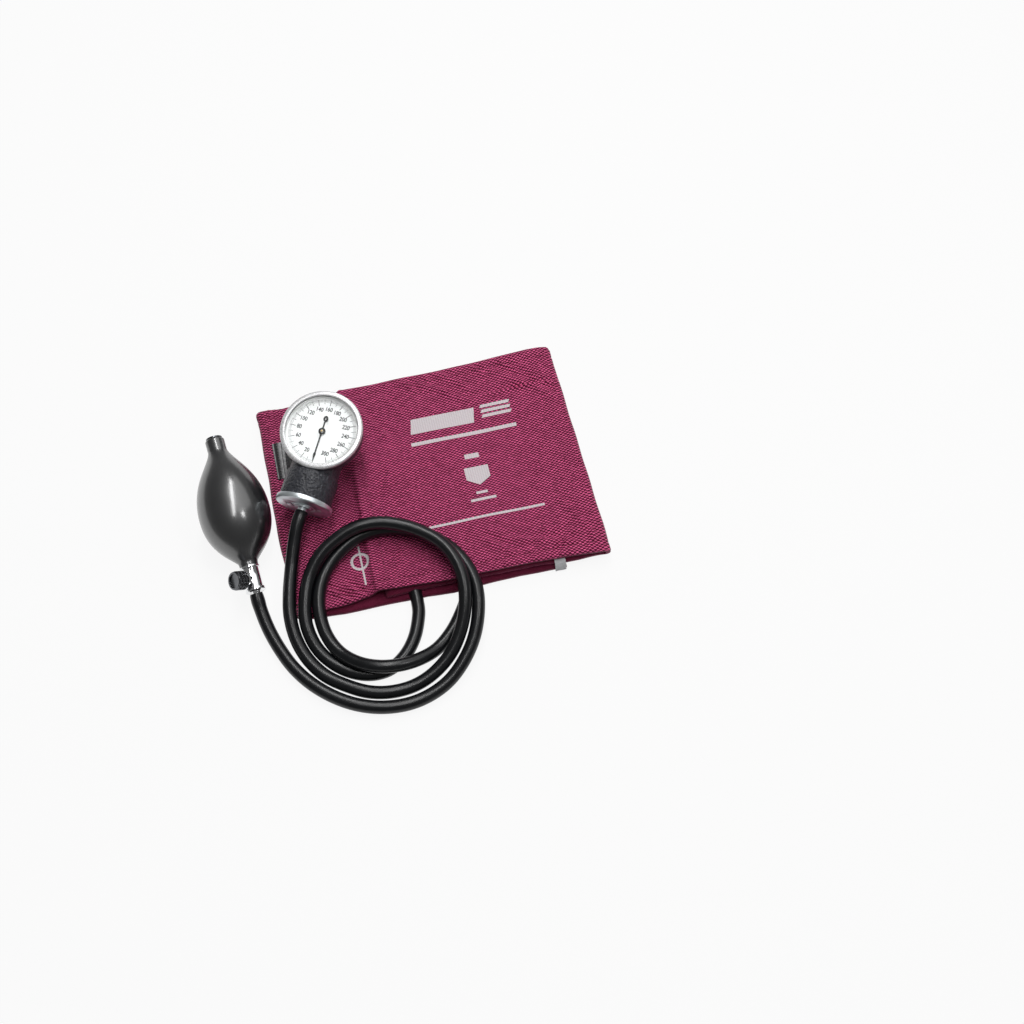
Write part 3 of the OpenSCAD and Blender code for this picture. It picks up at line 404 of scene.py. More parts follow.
def webbing_material(name, base, light):
    """Narrow webbing: ribs along its width, a thin painted highlight on the fold at its sewn end, a light band
    beside it and dark strips.
    """
    material, t, shader, at, _ = start_material(name)
    on_cloth = cloth_place(t, at)
    woven = use_group(t, WEAVE, on_cloth, Thread=0.0010)
    along = t.parts(on_cloth)[0]
    rib = t.math("ABSOLUTE", t.math("SINE", t.times(along, math.pi / 0.0017)))
    height = t.plus(t.times(rib, 0.5), t.times(woven["Height"], 0.7))
    # Stripes across the end: a thin painted highlight on the fold, a black strip, the light band, a black
    # line, then dark grey
    band = t.steps(t.math("DIVIDE", along, 0.0140), *[(p, (v, v, v)) for p, v in (
        (0.0, 0.9), (0.05, 0.8), (0.08, 0.0), (0.19, 0.0),
        (0.24, 1.0), (0.46, 0.9), (0.52, 0.05), (0.64, 0.3))])
    tone = t.blend(band, rgb(*base), t.steps(height, (0.25, base), (0.95, light)))
    t.fill(shader, {
        "Base Color": t.blend(t.times(woven["Shade"], 0.4), tone, rgb(*base)),
        "Roughness": t.line(woven["Shade"], 0.1, 0.62), "Sheen Weight": 0.1})
    bump(t, shader, height, 0.25)
    return material


def pile_material(name, base, tip, size):
    """Hook or loop pile: small tufts, lighter at their tips."""
    material, t, shader, at, _ = start_material(name)
    tufts = t.add("ShaderNodeTexVoronoi", {"Vector": at["Object"], "Scale": 1 / (size * MM)})
    fine = use_group(t, GRAIN, at["Object"], Size=0.0002)
    height = t.minus(1.0, t.line(fine["Height"], 0.3, tufts.outputs["Distance"]))
    t.fill(shader, {
        "Base Color": t.steps(height, (0.1, base), (0.8, tip)),
        "Roughness": t.line(fine["Height"], 0.1, 0.75), "Sheen Weight": 0.3})
    bump(t, shader, height, 0.3)
    return material


# Cloth colours are gap, thread and shine: the gap colour is painted shade between the threads, and the shine
# colour is a painted highlight on the threads on top
NYLON = cloth_material(
    "burgundy oxford nylon", (0.020, 0.0002, 0.004), (0.085, 0.0006, 0.017), (0.95, 0.15, 0.36),
    0.00096, 0.42, 0.30, 0.0, cuff_prints, 1.55, 0.38)
LINING = cloth_material(
    "burgundy lining", (0.04, 0.002, 0.01), (0.13, 0.008, 0.03), (0.22, 0.03, 0.07), 0.0004, 0.5, 0.06, 0.2)
TAG_CLOTH = cloth_material(
    "woven tag", (0.42, 0.43, 0.44), (0.66, 0.67, 0.68), (0.75, 0.76, 0.77), 0.0003, 0.55, 0.03, 0.1)
WEBBING = webbing_material("black webbing", (0.008, 0.008, 0.009), (0.58, 0.58, 0.59))
PILE = pile_material("loop pile", (0.006, 0.010, 0.009), (0.05, 0.065, 0.06), 0.8)
HOOKS = pile_material("hook pile", (0.005, 0.006, 0.006), (0.04, 0.042, 0.04), 1.2)
THREAD = rubber_material("burgundy sewing thread", (0.10, 0.006, 0.025), 0.45, 0.0, 0.15, 0.05, 0.05)
GREY_THREAD = rubber_material("grey sewing thread", (0.10, 0.10, 0.105), 0.5, 0.0, 0.15, 0.05, 0.05)
BULB_RUBBER = rubber_material("glossy bulb rubber", (0.002, 0.0022, 0.003), 0.44, 0.9, 0.5, 0.02, 0.01, 0.9)
TUBE_RUBBER = rubber_material("satin tube rubber", (0.003, 0.0035, 0.0045), 0.30, 0.0, 0.3, 0.015, 0.02)
BLADDER_RUBBER = rubber_material("bladder rubber", (0.012, 0.012, 0.013), 0.5, 0.0, 0.4, 0.03, 0.2)
SEAL_RUBBER = rubber_material("seal rubber", (0.008, 0.008, 0.008))
DISC_RUBBER = rubber_material("check disc rubber", (0.10, 0.05, 0.03))
PALE_RUBBER = rubber_material("pale seal rubber", (0.38, 0.38, 0.38))
CASE_ENAMEL = enamel_material("dimpled black enamel", (0.029, 0.030, 0.037), 0.26, 0.90, 1.0)
CHROME = metal_material("polished chrome", (0.90, 0.91, 0.92), 0.07, 0.004)
BEZEL_CHROME = metal_material("satin bezel chrome", (0.93, 0.93, 0.94), 0.25, 0.004, metal=0.6)
DARK_NICKEL = metal_material("dark nickel", (0.15, 0.155, 0.165), 0.17)
CAP_STEEL = metal_material("satin cap steel", (0.88, 0.94, 0.97), 0.38, grain=0.4)
BRASS = metal_material("satin brass", (0.62, 0.45, 0.19), 0.28, brushed=0.6)
STEEL = metal_material("spring steel", (0.55, 0.56, 0.58), 0.22, brushed=0.6)
DIAL_WHITE = print_material("dial white", (0.80, 0.80, 0.79), 0.45)
DIAL_BLACK = print_material("dial print", (0.012, 0.012, 0.013), 0.5)
POINTER_BLACK = print_material("pointer enamel", (0.006, 0.006, 0.006), 0.35)
CRYSTAL = glass_material("crystal")


# Making pieces
def painted(mesh, material):
    mesh.materials.clear()
    mesh.materials.append(material)


def joined(mesh, sources):
    """Fills a mesh from the sources, merges doubles and turns the faces outward."""
    work = bmesh.new()
    for source in sources:
        work.from_mesh(source)
    bmesh.ops.remove_doubles(work, verts=work.verts, dist=1e-7)
    bmesh.ops.recalc_face_normals(work, faces=work.faces)
    work.to_mesh(mesh)
    work.free()


def mesh_piece(name, points, faces, material, uv=None, sharp=40, turn=False):
    """A mesh in the shared frame from points in millimetres; turn sets the faces outward."""
    mesh = bpy.data.meshes.new(name)
    mesh.from_pydata((np.asarray(points, float) * MM).tolist(), [], faces)
    mesh.update()
    if uv is not None:
        layer = mesh.uv_layers.new(name="cloth")
        corner = np.zeros(len(mesh.loops), int)
        mesh.loops.foreach_get("vertex_index", corner)
        layer.data.foreach_set("uv", np.asarray(uv, float)[corner].ravel())
    if turn:
        joined(mesh, [mesh])
    mesh.shade_smooth()
    mesh.set_sharp_from_angle(angle=math.radians(sharp))
    painted(mesh, material)
    return linked(name, mesh)


def settle(piece, body=BASE, nodes=()):
    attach(piece, body)
    if nodes:
        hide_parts(*nodes)
    return piece


def turned(degrees, axis):
    return Matrix.Rotation(math.radians(degrees), 4, axis)


def moved(x, y, z):
    return Matrix.Translation((x, y, z))


def lathe(profile, matrix, segments, closed=True, wave=None):
    """Points and faces of a profile [radius, height] turned round the frame's Z axis."""
    n = len(profile)
    points, rings = [], []
    for r, z in profile:
        if r < 1e-6:
            rings.append([len(points)])
            points.append((0, 0, z))
            continue
        ring = []
        for k in range(segments):
            a = 2 * math.pi * k / segments
            reach = r if wave is None else r + wave(a, r)
            ring.append(len(points))
            points.append((reach * math.cos(a), reach * math.sin(a), z))
        rings.append(ring)
    faces = []
    for i in range(n if closed else n - 1):
        a, b = rings[i], rings[(i + 1) % n]
        if len(a) == 1 and len(b) == 1:
            continue
        for k in range(segments):
            j = (k + 1) % segments
            if len(a) == 1:
                faces.append((a[0], b[j], b[k]))
            elif len(b) == 1:
                faces.append((a[k], a[j], b[0]))
            else:
                faces.append((a[k], a[j], b[j], b[k]))
    m = np.array(matrix)
    return np.asarray(points, float) @ m[:3, :3].T + m[:3, 3], faces


def lathe_piece(name, profile, matrix, segments, material, slot, nodes=(), body=BASE, sharp=50, **how):
    points, faces = lathe(profile, matrix, segments, **how)
    return settle(mesh_piece(name, points, faces, material, sharp=sharp, turn=True), body, nodes)


def arc(cx, cz, r, a0, a1, n):
    """Points of a round edge in a lathe profile, from angle a0 to a1 in degrees."""
    angles = [math.radians(a0 + (a1 - a0) * i / n) for i in range(n + 1)]
    return [(cx + r * math.cos(a), cz + r * math.sin(a)) for a in angles]


def refined(node, material, edge, body=BASE, sharp=35):
    """A piece with the CAD node's own shape, its doubles merged and its edges softened."""
    name = node + "_finished"
    mesh = NODES[node].data.copy()
    mesh.name = name
    work = bmesh.new()
    work.from_mesh(mesh)
    bmesh.ops.remove_doubles(work, verts=work.verts, dist=2e-6)
    bmesh.ops.dissolve_limit(work, angle_limit=math.radians(0.6), verts=work.verts, edges=work.edges)
    edges = [e for e in work.edges
             if len(e.link_faces) == 2 and e.calc_face_angle(0) > math.radians(sharp)]
    bmesh.ops.bevel(
        work, geom=edges, offset=edge * MM, segments=2, profile=0.5, affect="EDGES", clamp_overlap=True)
    work.to_mesh(mesh)
    work.free()
    mesh.shade_smooth()
    mesh.set_sharp_from_angle(angle=math.radians(sharp))
    painted(mesh, material)
    return settle(linked(name, mesh), body, [node])


def finished_mesh(holder, matrix=None):
    """The finished mesh of a curve or of an object with modifiers, which is removed."""
    mesh = bpy.data.meshes.new_from_object(holder.evaluated_get(bpy.context.evaluated_depsgraph_get()))
    bpy.data.objects.remove(holder)
    if matrix is not None:
        mesh.transform(matrix)
    return mesh


def nodes_to_piece(name, source, tree, matrix=None, **inputs):
    """Runs a geometry tree on a mesh, and returns its result as a plain mesh piece."""
    holder = linked(name + "_source", source)
    modifier = holder.modifiers.new("nodes", "NODES")
    modifier.node_group = tree
    for item in tree.interface.items_tree:
        if item.item_type == "SOCKET" and item.in_out == "INPUT" and item.name in inputs:
            modifier[item.identifier] = inputs[item.name]
    holder.update_tag()
    mesh = finished_mesh(holder, matrix)
    mesh.name = name
    return linked(name, mesh)


# Frames of the gauge, its dial and the bulb, as in the source
STRIP_TOP, CAP_R, TILT, HEADING = 8.15, 17.5, 8.4, -28.4
GAUGE = moved(-56.7, -11.2, STRIP_TOP + CAP_R * math.cos(math.radians(TILT)) + 0.15) \
    @ turned(HEADING, "Z") @ turned(TILT, "X")
DIAL = GAUGE @ moved(0, 45.6, 0)
BULB = moved(-102.25, 44, 31.3773) @ turned(4.7, "Z") @ turned(101, "X")
BULB_LEN = 84.3

# Air tubes: the source's routes, each as one smooth hose
GAUGE_ROUTE = [
    (-58, -13.7, 25.2), (-62.5, -21.9, 23.3), (-67.2, -33, 18.6), (-71.5, -46, 14.3), (-75, -60, 12.8),
    (-77, -74, 11.5), (-76, -88, 8), (-71.5, -101, 5.5), (-63.5, -112.5, 4), (-52.5, -121.5, 4),
    (-40, -128.5, 4), (-26.5, -131.5, 4), (-12.5, -130.5, 4), (0.5, -125.5, 5.5),
    (12, -117, 8.5), (20.5, -105.5, 13), (26, -92.5, 18), (28, -79, 22), (26, -66, 24.5),
    (20, -53.5, 25), (10, -43.5, 25), (-2, -36, 25), (-15, -31.5, 25), (-28.5, -31.5, 24.5),
    (-41, -35.5, 22.5), (-52.5, -42.5, 19.8), (-61.5, -53.5, 16), (-66.5, -66.5, 13.2),
    (-68.5, -80, 10.2), (-66, -93, 6.5), (-59.5, -104, 4.5), (-49.5, -113, 4),
    (-37.5, -118, 4), (-25.5, -117.5, 4), (-15, -111, 4), (-7, -100.5, 4), (-2, -87.5, 4),
    (-1, -79.5, 4), (-1, -72.5, 4),
]
BULB_ROUTE = [
    (-94.5, -55, 12), (-93.5, -65, 8.5), (-91, -77.5, 5.5), (-86.5, -91, 4), (-80.5, -104, 4),
    (-72, -116, 4), (-61, -126.5, 4), (-48.5, -134.5, 4), (-34.5, -139.5, 4),
    (-19.5, -141, 4), (-5.5, -138.5, 4), (7.5, -132.5, 5), (18.5, -123, 7.5),
    (27, -111.5, 10.5), (32.5, -98.5, 14), (35, -85, 16.6), (33.5, -71.5, 17),
    (28.5, -59, 16.8), (20, -48, 16.6), (8.5, -39.5, 16.6), (-4.5, -34, 16.6),
    (-18, -32.5, 16.5), (-30.5, -35, 16.2), (-42, -41.5, 14.6), (-51.5, -51, 13),
    (-57.5, -63.5, 12.4), (-59.5, -76.5, 11), (-58, -89.5, 8.5), (-52.5, -101.5, 8),
    (-43.5, -111, 10.2), (-32.5, -117, 12.2), (-20, -119, 11.7), (-7.5, -117, 8.7),
    (4.5, -111.5, 5), (15, -102.5, 4), (23.5, -91.5, 4), (29, -81.5, 4), (30.5, -72.5, 4),
]
TUBE_R, BORE_R = 4.0, 2.35
HOSE_SIDES, HOSE_STEP, BORE_LEN = 32, 1.4, 11.0
SWELL, SWELL_AT, SWELL_LEN, MOUTH_ROUND = 0.25, 5.0, 3.0, 0.25


def evenly(points, step=0.0, count=0):
    """Points at equal distances along a line, about a step apart or as many as count, and its length."""
    run = np.concatenate([[0], np.cumsum(np.linalg.norm(np.diff(points, axis=0), axis=1))])
    even = np.linspace(0, run[-1], count or int(run[-1] / step) + 1)
    return np.stack([np.interp(even, run, points[:, k]) for k in range(3)], 1), run[-1]


def smooth_line(route, step):
    """Points about one step apart on a smooth curve through the route's points."""
    p = np.array(route, float)
    p = np.vstack([2 * p[0] - p[1], p, 2 * p[-1] - p[-2]])
    fine = []
    for i in range(1, len(p) - 2):
        a, b, c, d = p[i - 1:i + 3]
        t = np.linspace(0, 1, 24, endpoint=False)[:, None]
        fine.append(0.5 * (2 * b + (c - a) * t + (2 * a - 5 * b + 4 * c - d) * t ** 2
                           + (3 * b - a - 3 * c + d) * t ** 3))
    return evenly(np.vstack(fine + [p[-2][None]]), step)


def directions(line):
    ahead = np.gradient(line, axis=0)
    return ahead / np.linalg.norm(ahead, axis=1)[:, None]


def frames_along(line):
    """Two directions square to a line and to each other at each of its points, which never twist."""
    ahead = directions(line)
    side = np.cross(ahead[0], (0, 0, 1.0))
    side /= np.linalg.norm(side)
    sides = []
    for t in ahead:
        side = side - t * side.dot(t)
        side /= np.linalg.norm(side)
        sides.append(side)
    sides = np.array(sides)
    return sides, np.cross(sides, ahead)


def hose(name, route, node):
    """A hose along a route: open at the end that sits on its barb, where it swells a little."""
    sides = HOSE_SIDES
    line, length = smooth_line(route, HOSE_STEP)
    across, up = frames_along(line)
    run = np.linspace(0, length, len(line))
    a = 2 * math.pi * np.arange(sides) / sides
    turn = np.cos(a)[None, :, None] * across[:, None] + np.sin(a)[None, :, None] * up[:, None]
    radius = TUBE_R + SWELL * np.exp(-((run - SWELL_AT) / SWELL_LEN) ** 2)
    radius[0] -= MOUTH_ROUND
    outer = line[:, None] + turn * radius[:, None, None]
    outer[..., 2] = np.maximum(outer[..., 2], 0.0)
    k = int(BORE_LEN / HOSE_STEP)
    rings = np.concatenate([line[k::-1, None] + turn[k::-1] * BORE_R, outer])
    n = len(rings)
    points = rings.reshape(-1, 3).tolist()
    faces = [(i * sides + j, i * sides + m, (i + 1) * sides + m, (i + 1) * sides + j)
             for i in range(n - 1) for j, m in zip(range(sides), [*range(1, sides), 0])]
    for ring, centre, flip in ((0, line[k], True), (n - 1, line[-1], False)):
        points.append(centre.tolist())
        for j in range(sides):
            face = (ring * sides + (j + 1) % sides, ring * sides + j, len(points) - 1)
            faces.append(face if flip else face[::-1])
    shown = np.concatenate([-run[k::-1], run])
    uv = [((s + 20) / UV_SPAN / 2, j / sides * 0.05) for s in shown for j in range(sides)]
    piece = mesh_piece(name, points, faces, TUBE_RUBBER, uv + [(0, 0), (0, 0)], turn=True)
    settle(piece, BASE, [node])
    return line


TUBE_POINTS = np.vstack([
    hose("gauge_hose", GAUGE_ROUTE, "gauge_tube"), hose("bulb_hose", BULB_ROUTE, "bulb_tube")])

# Cuff: the source's fold, walked from the bottom layer's free end to the hidden one
HALF_W, PLY, GAP = 72.5, 3.9, 0.35
HALF_PLY, LAYER = PLY / 2, PLY + GAP
BEND = LAYER / 2
LOW, MID, TOP = HALF_PLY, HALF_PLY + LAYER, HALF_PLY + 2 * LAYER
LEFT_FOLD, RIGHT_FOLD, BOTTOM_END, HIDDEN_END = -76.0, 120.0, 93.0, -18.5
STEP_X, STEP_LEN = -25.0, 10.0
FOLD_OUT = BEND + HALF_PLY


def fold_line():
    """The cuff's middle line as rows of [distance, x, z, heading in radians]."""
    def bend(cx, cz, a0, a1):
        a = np.radians(np.linspace(a0, a1, 25))
        return np.stack([cx + BEND * np.cos(a), cz + BEND * np.sin(a), a - math.pi / 2], 1)

    def run(x0, x1, z, heading):
        x = np.linspace(x0, x1, max(2, int(abs(x1 - x0) / 0.5)))
        return np.stack([x, np.full_like(x, z), np.full_like(x, heading)], 1)

    t = np.linspace(0, math.pi, 41)
    rise = np.stack([
        STEP_X - STEP_LEN / 2 + STEP_LEN * t / math.pi, MID + LAYER * (1 - np.cos(t)) / 2,
        np.arctan(LAYER * math.pi / 2 * np.sin(t) / STEP_LEN)], 1)
    left, right = LEFT_FOLD + FOLD_OUT, RIGHT_FOLD - FOLD_OUT
    rows = np.vstack([
        run(BOTTOM_END, left, LOW, math.pi), bend(left, LOW + BEND, 270, 90)[1:],
        run(left, STEP_X - STEP_LEN / 2, MID, 0)[1:], rise[1:],
        run(STEP_X + STEP_LEN / 2, right, TOP, 0)[1:], bend(right, MID + BEND, 90, -90)[1:],
        run(right, HIDDEN_END, MID, -math.pi)[1:],
    ])
    walk = np.concatenate([[0], np.cumsum(np.hypot(*np.diff(rows[:, :2], axis=0).T))])
    return np.column_stack([walk, rows])


FOLD = fold_line()
CUFF_LEN = FOLD[-1, 0]
AT_LEFT = FOLD[np.argmin(FOLD[:, 1]), 0]
AT_RIGHT = FOLD[np.argmax(FOLD[:, 1]), 0]
ABOVE = FOLD[(FOLD[:, 0] > AT_LEFT + 5) & (FOLD[:, 0] < AT_RIGHT - 5)]
AT_STEP = float(np.interp(MID + LAYER / 2, ABOVE[:, 2], ABOVE[:, 0]))


def on_fold(s):
    """x, z and heading of the cuff's middle line at the distances s along it."""
    return (np.interp(s, FOLD[:, 0], FOLD[:, k]) for k in (1, 2, 3))


def soft(v, a, b):
    """0 below a, 1 above b, and smooth between."""
    t = np.clip((v - a) / (b - a), 0, 1)
    return t * t * (3 - 2 * t)


def ripple(x, y, waves):
    """A sum of plain waves: rows of [amount, across x, across y, start]."""
    return sum(k * np.sin(x / a + y / b + c) for k, a, b, c in waves)


CREASE_DEPTH, CREASE_RIDGE = 3.2, 0.7


def crease(x, y, px, py, qx, qy, wide, deep):
    """A sharp valley from p to q with a soft ridge on its right side."""
    length = np.hypot(qx - px, qy - py)
    dx, dy = (qx - px) / length, (qy - py) / length
    along = (x - px) * dx + (y - py) * dy
    off = (x - px) * dy - (y - py) * dx
    fade = np.sin(np.pi * np.clip(along / length, 0, 1)) ** 0.5 * (along > 0) * (along < length)
    return CREASE_DEPTH * deep * fade * (
        CREASE_RIDGE * np.exp(-((off - 2.2 * wide) / (1.3 * wide)) ** 2) - np.exp(-(off / wide) ** 2))


# The cuff's real outline seen from above: [x, y] along its long edges, [y, x] along its two folds
BACK_EDGE = np.transpose([
    (-76, 71.6), (-68, 71.9), (-60, 70.8), (-32, 72.2), (-20, 73.3), (0, 73.0), (19, 73.3), (45, 73.6),
    (59, 74.2), (86, 75.2), (104, 76.3), (112, 76.0), (120, 74.6),
])
FRONT_EDGE = np.transpose([
    (-76, -72.2), (-42, -72.2), (-30, -70.6), (-23, -69.2), (-9, -70.2), (15, -71.6), (40, -72.0), (64, -72.4),
    (89, -72.9), (108, -74.4), (120, -75.4),
])
MIDDLE_FRONT = np.transpose([
    (60, -72.6), (80, -73.2), (93, -74.9), (101, -75.2), (108, -74.8), (116, -74.6), (120, -75.0),
])
RIGHT_EDGE = np.transpose([
    (-76, 121.6), (-60, 121.3), (-30, 120.6), (0, 120.1), (40, 119.5), (75, 118.9),
])
LOWER_FRONT = np.transpose([
    (-76, -73.4), (-62, -74.6), (-45, -75.8), (-27, -75.6), (-11, -75.5), (6, -75.8), (13, -76.6), (22, -77.1),
    (45, -76.0), (64, -75.2), (76, -75.8), (93, -75.9),
])
LEFT_EDGE = np.transpose([
    (-72, -73.9), (-62, -74.6), (-40, -75.2), (-14, -76.3), (22, -75.9), (62, -76.0), (71.5, -76.5),
])

# Sharp creases of the top face: [x and y of its start, x and y of its end, width, depth]
CREASES = [
    (-54, -55, -38, -71, 1.0, 0.8), (-41, -57, -29, -71, 1.0, 0.8), (-11.6, -57, -8.2, -43, 0.9, 0.6),
    (-6.9, -58, -3.8, -44, 0.9, 0.55), (30, 70, 64, 48, 1.8, 0.6), (78, 69, 117, 40, 2.0, 0.6),
    (-12, 62, 8, 30, 1.6, 0.5), (100, -30, 118, -66, 1.5, 0.6), (60, -50, 104, -62, 1.8, 0.5),
    (-14, -20, -2, 12, 1.6, 0.35), (58, 50, 121, 49.4, 0.7, 0.5), (6, 66, 20, 44, 1.4, 0.5),
    (44, -44, 70, -66, 1.6, 0.5), (36, 72, 50, 56, 1.3, 0.6), (46, 73, 62, 58, 1.3, 0.5),
    (84, 74, 102, 54, 1.4, 0.5), (22, 72, 30, 60, 1.2, 0.5), (66, 73, 76, 62, 1.2, 0.5),
    (20, -72, 36, -56, 1.4, 0.6), (52, -72, 60, -56, 1.3, 0.5), (70, -72, 80, -54, 1.3, 0.6),
    (86, -73, 100, -50, 1.4, 0.7), (104, -72, 113, -50, 1.3, 0.6), (-16, -70, -8, -60, 1.1, 0.5),
]


def step_line(y):
    """Where the upper layer's sewn end shows as a line across the face."""
    return -23.1 + 0.010 * (y - 11.0) + 0.15 * np.sin(y / 19.0)


def wrinkles(x, y):
    """How far the top face stands off its plain surface."""
    wide = np.abs(y)
    w = ripple(x, y, [
        (0.22, 17.0, 23.0, 0.3), (0.18, -11.0, 19.0, 1.7), (0.16, 29.0, -9.5, 2.9),
        (0.12, 6.3, 31.0, 0.9), (0.09, 7.9, -12.0, 4.0)])
    # Puckers beside the hems, gathers on the strip left of the gauge, and its raised corner
    w = w + 0.30 * np.exp(-((wide - 67.5) / 4.5) ** 2) * np.sin(
        x / 1.6 + 1.3 * np.sin(x / 9.0) + np.sign(y) * 0.8)
    w = w + 0.50 * soft(-x, 54, 62) * soft(y, 8, 60) * np.sin(x * 1.75 + 0.5 * np.sin(y / 11.0))
    w = w + 0.5 * soft(-x, 48, 60) * soft(y, 60, 71)
    for row in CREASES:
        w = w + crease(x, y, *row)
    # The groove and ridge at the upper layer's sewn end, and the fall towards the right fold
    off = x - step_line(y)
    w = w - 0.80 * soft(off, -5.5, -1.0) * (1 - soft(off, -0.2, 0.8))
    w = w + 1.05 * np.exp(-((off - 1.9) / 1.1) ** 2)
    return w - 1.2 * soft(x, 108, 117.5)


def gauge_clear(x, y):
    """1 away from the gauge, 0 where its cap and clip rest close over the cuff."""
    back = np.array(GAUGE.inverted())
    at = np.stack([x, y, np.full_like(x, STRIP_TOP)], -1) @ back[:3, :3].T + back[:3, 3]
    return 1 - soft(22 - np.abs(at[..., 0]), 0, 5) * soft(at[..., 1], -9, -4) * soft(74 - at[..., 1], 0, 6)


# Seams and rounding: across the width, then along the cuff; and the least half thickness of a crease
HEM_SEAM, HEM_ROUND, END_SEAM, END_ROUND, LEAST_HALF = 66.5, 70.9, 8.0, 3.0, 1.25


def hem_profile(y):
    """Half thickness of the cuff across its width, with sewn channels and rounded hems."""
    wide = np.abs(y)
    h = HALF_PLY + 0.10 * soft(62 - wide, 0, 8) - 0.34 * np.exp(-((wide - HEM_SEAM) / 0.7) ** 2)
    return h * (1 - 0.55 * np.clip((wide - HEM_ROUND) / (HALF_W - HEM_ROUND), 0, 1) ** 2.2)


def cuff_surface(s, y, side=1.0, lift=0.0):
    """Points on the cuff's outer face (side 1) or inner face (side -1)."""
    s, y = np.broadcast_arrays(np.asarray(s, float), np.asarray(y, float))
    x, z, h = on_fold(s)
    # Thickness: rounded ends, the seam across the bottom layer's end, then the wrinkles of the top face
    half = hem_profile(y)
    for near in (END_ROUND - s, s - CUFF_LEN + END_ROUND):
        half = half * (1 - 0.6 * np.clip(near / END_ROUND, 0, 1) ** 2.4)
    half = half - 0.5 * np.exp(-((s - END_SEAM) / 0.95) ** 2) * (np.abs(y) < 66)
    if side > 0:
        top = soft(s, AT_LEFT - 1, AT_LEFT + 7) * soft(AT_RIGHT + 2 - s, 0, 9)
        half = half + np.maximum(top * gauge_clear(x, y) * wrinkles(x, y), LEAST_HALF - half)
        half = half + 0.18 * (1 - top) * soft(s, AT_LEFT - 10, AT_LEFT) * np.sin(y / 5.1)
    half = half + lift
    # Outline: each long edge follows its table, and the folds bow
    edge = (np.abs(y) / HALF_W) ** 3 * np.sign(y)
    past = 1 - soft(AT_RIGHT + 9 - s, 0, 9)
    face = soft(s, AT_LEFT - 8, AT_LEFT + 6) * (1 - past)
    under = 1 - soft(s, AT_LEFT - 10, AT_LEFT + 2)
    back = np.interp(x, *BACK_EDGE) - HALF_W
    front, middle, lower = (
        -np.interp(x, *table) - HALF_W for table in (FRONT_EDGE, MIDDLE_FRONT, LOWER_FRONT))
    skew = -3.0 * np.clip((AT_LEFT - 60 - s) / (AT_LEFT - 60), 0, 1) ** 1.5
    shift = edge * (ripple(s, 0 * s, [(0.16, 13.0, 1.0, 0.4), (0.12, 5.3, 1.0, 2.2)])
                    + face * np.where(y > 0, back, front) + past * np.where(y > 0, 0, middle)
                    + under * np.where(y > 0, 0, lower + skew))
    bow = np.exp(-((s - AT_LEFT) / 12.0) ** 2) * (np.interp(y, *LEFT_EDGE) - LEFT_FOLD)
    bow = bow + np.exp(-((s - AT_RIGHT) / 14.0) ** 2) * (np.interp(y, *RIGHT_EDGE) - RIGHT_FOLD)
    return np.stack([
        x - side * half * np.sin(h) + bow, y + shift + skew,
        np.maximum(z + side * half * np.cos(h), 0.0)], -1)


def clear_of_tubes(points, reach=4.12):
    """Pushes points of the top face down where a hose rests on them."""
    flat = points.reshape(-1, 3).copy()
    low = TUBE_POINTS[(TUBE_POINTS[:, 1] > -80)]
    for i in range(0, len(flat), 4000):
        part = flat[i:i + 4000]
        gap = low[None] - part[:, None]
        flat_d = np.hypot(gap[..., 0], gap[..., 1])
        over_it = (flat_d < reach) & (gap[..., 2] > 1.5)
        room = np.where(over_it, gap[..., 2] - np.sqrt(np.maximum(reach ** 2 - flat_d ** 2, 0)), 99)
        part[:, 2] += np.clip(room.min(1), -1.6, 0) * (part[:, 2] > 6)
    return flat.reshape(points.shape)


def grid_shell(outer, inner):
    """Closed shell between two grids of points: all its points, and its faces."""
    n, m = outer.shape[:2]
    points = np.concatenate([outer.reshape(-1, 3), inner.reshape(-1, 3)])
    count = n * m
    faces = []
    for i in range(n - 1):
        for j in range(m - 1):
            a = i * m + j
            faces.append((a, a + 1, a + m + 1, a + m))
            faces.append((count + a, count + a + m, count + a + m + 1, count + a + 1))
    for i in range(n - 1):
        a, b = i * m, i * m + m - 1
        faces.append((a, a + m, count + a + m, count + a))
        faces.append((b, count + b, count + b + m, b + m))
    for j in range(m - 1):
        a, b = j, (n - 1) * m + j
        faces.append((a, count + a, count + a + 1, a + 1))
        faces.append((b, b + 1, count + b + 1, count + b))
    return points, faces


def stations(show, hide):
    """Distances along the cuff: close together where its face shows."""
    a, b = AT_LEFT - 6, AT_RIGHT + 8
    return np.concatenate([
        np.linspace(0, 12, 9)[:-1], np.linspace(12, a, int((a - 12) / hide))[:-1],
        np.linspace(a, b, int((b - a) / show))[:-1], np.linspace(b, CUFF_LEN, int((CUFF_LEN - b) / hide)),
    ])


def hem_rows(step):
    """Distances across the cuff, closer together at the hems."""
    middle = np.linspace(-63, 63, int(126 / step))
    hem = np.array([64.2, 65.2, 65.9, 66.5, 67.1, 67.8, 69.0, 70.2, 70.9, 71.4, 71.9, 72.3, 72.5])
    return np.concatenate([-hem[::-1], middle, hem])


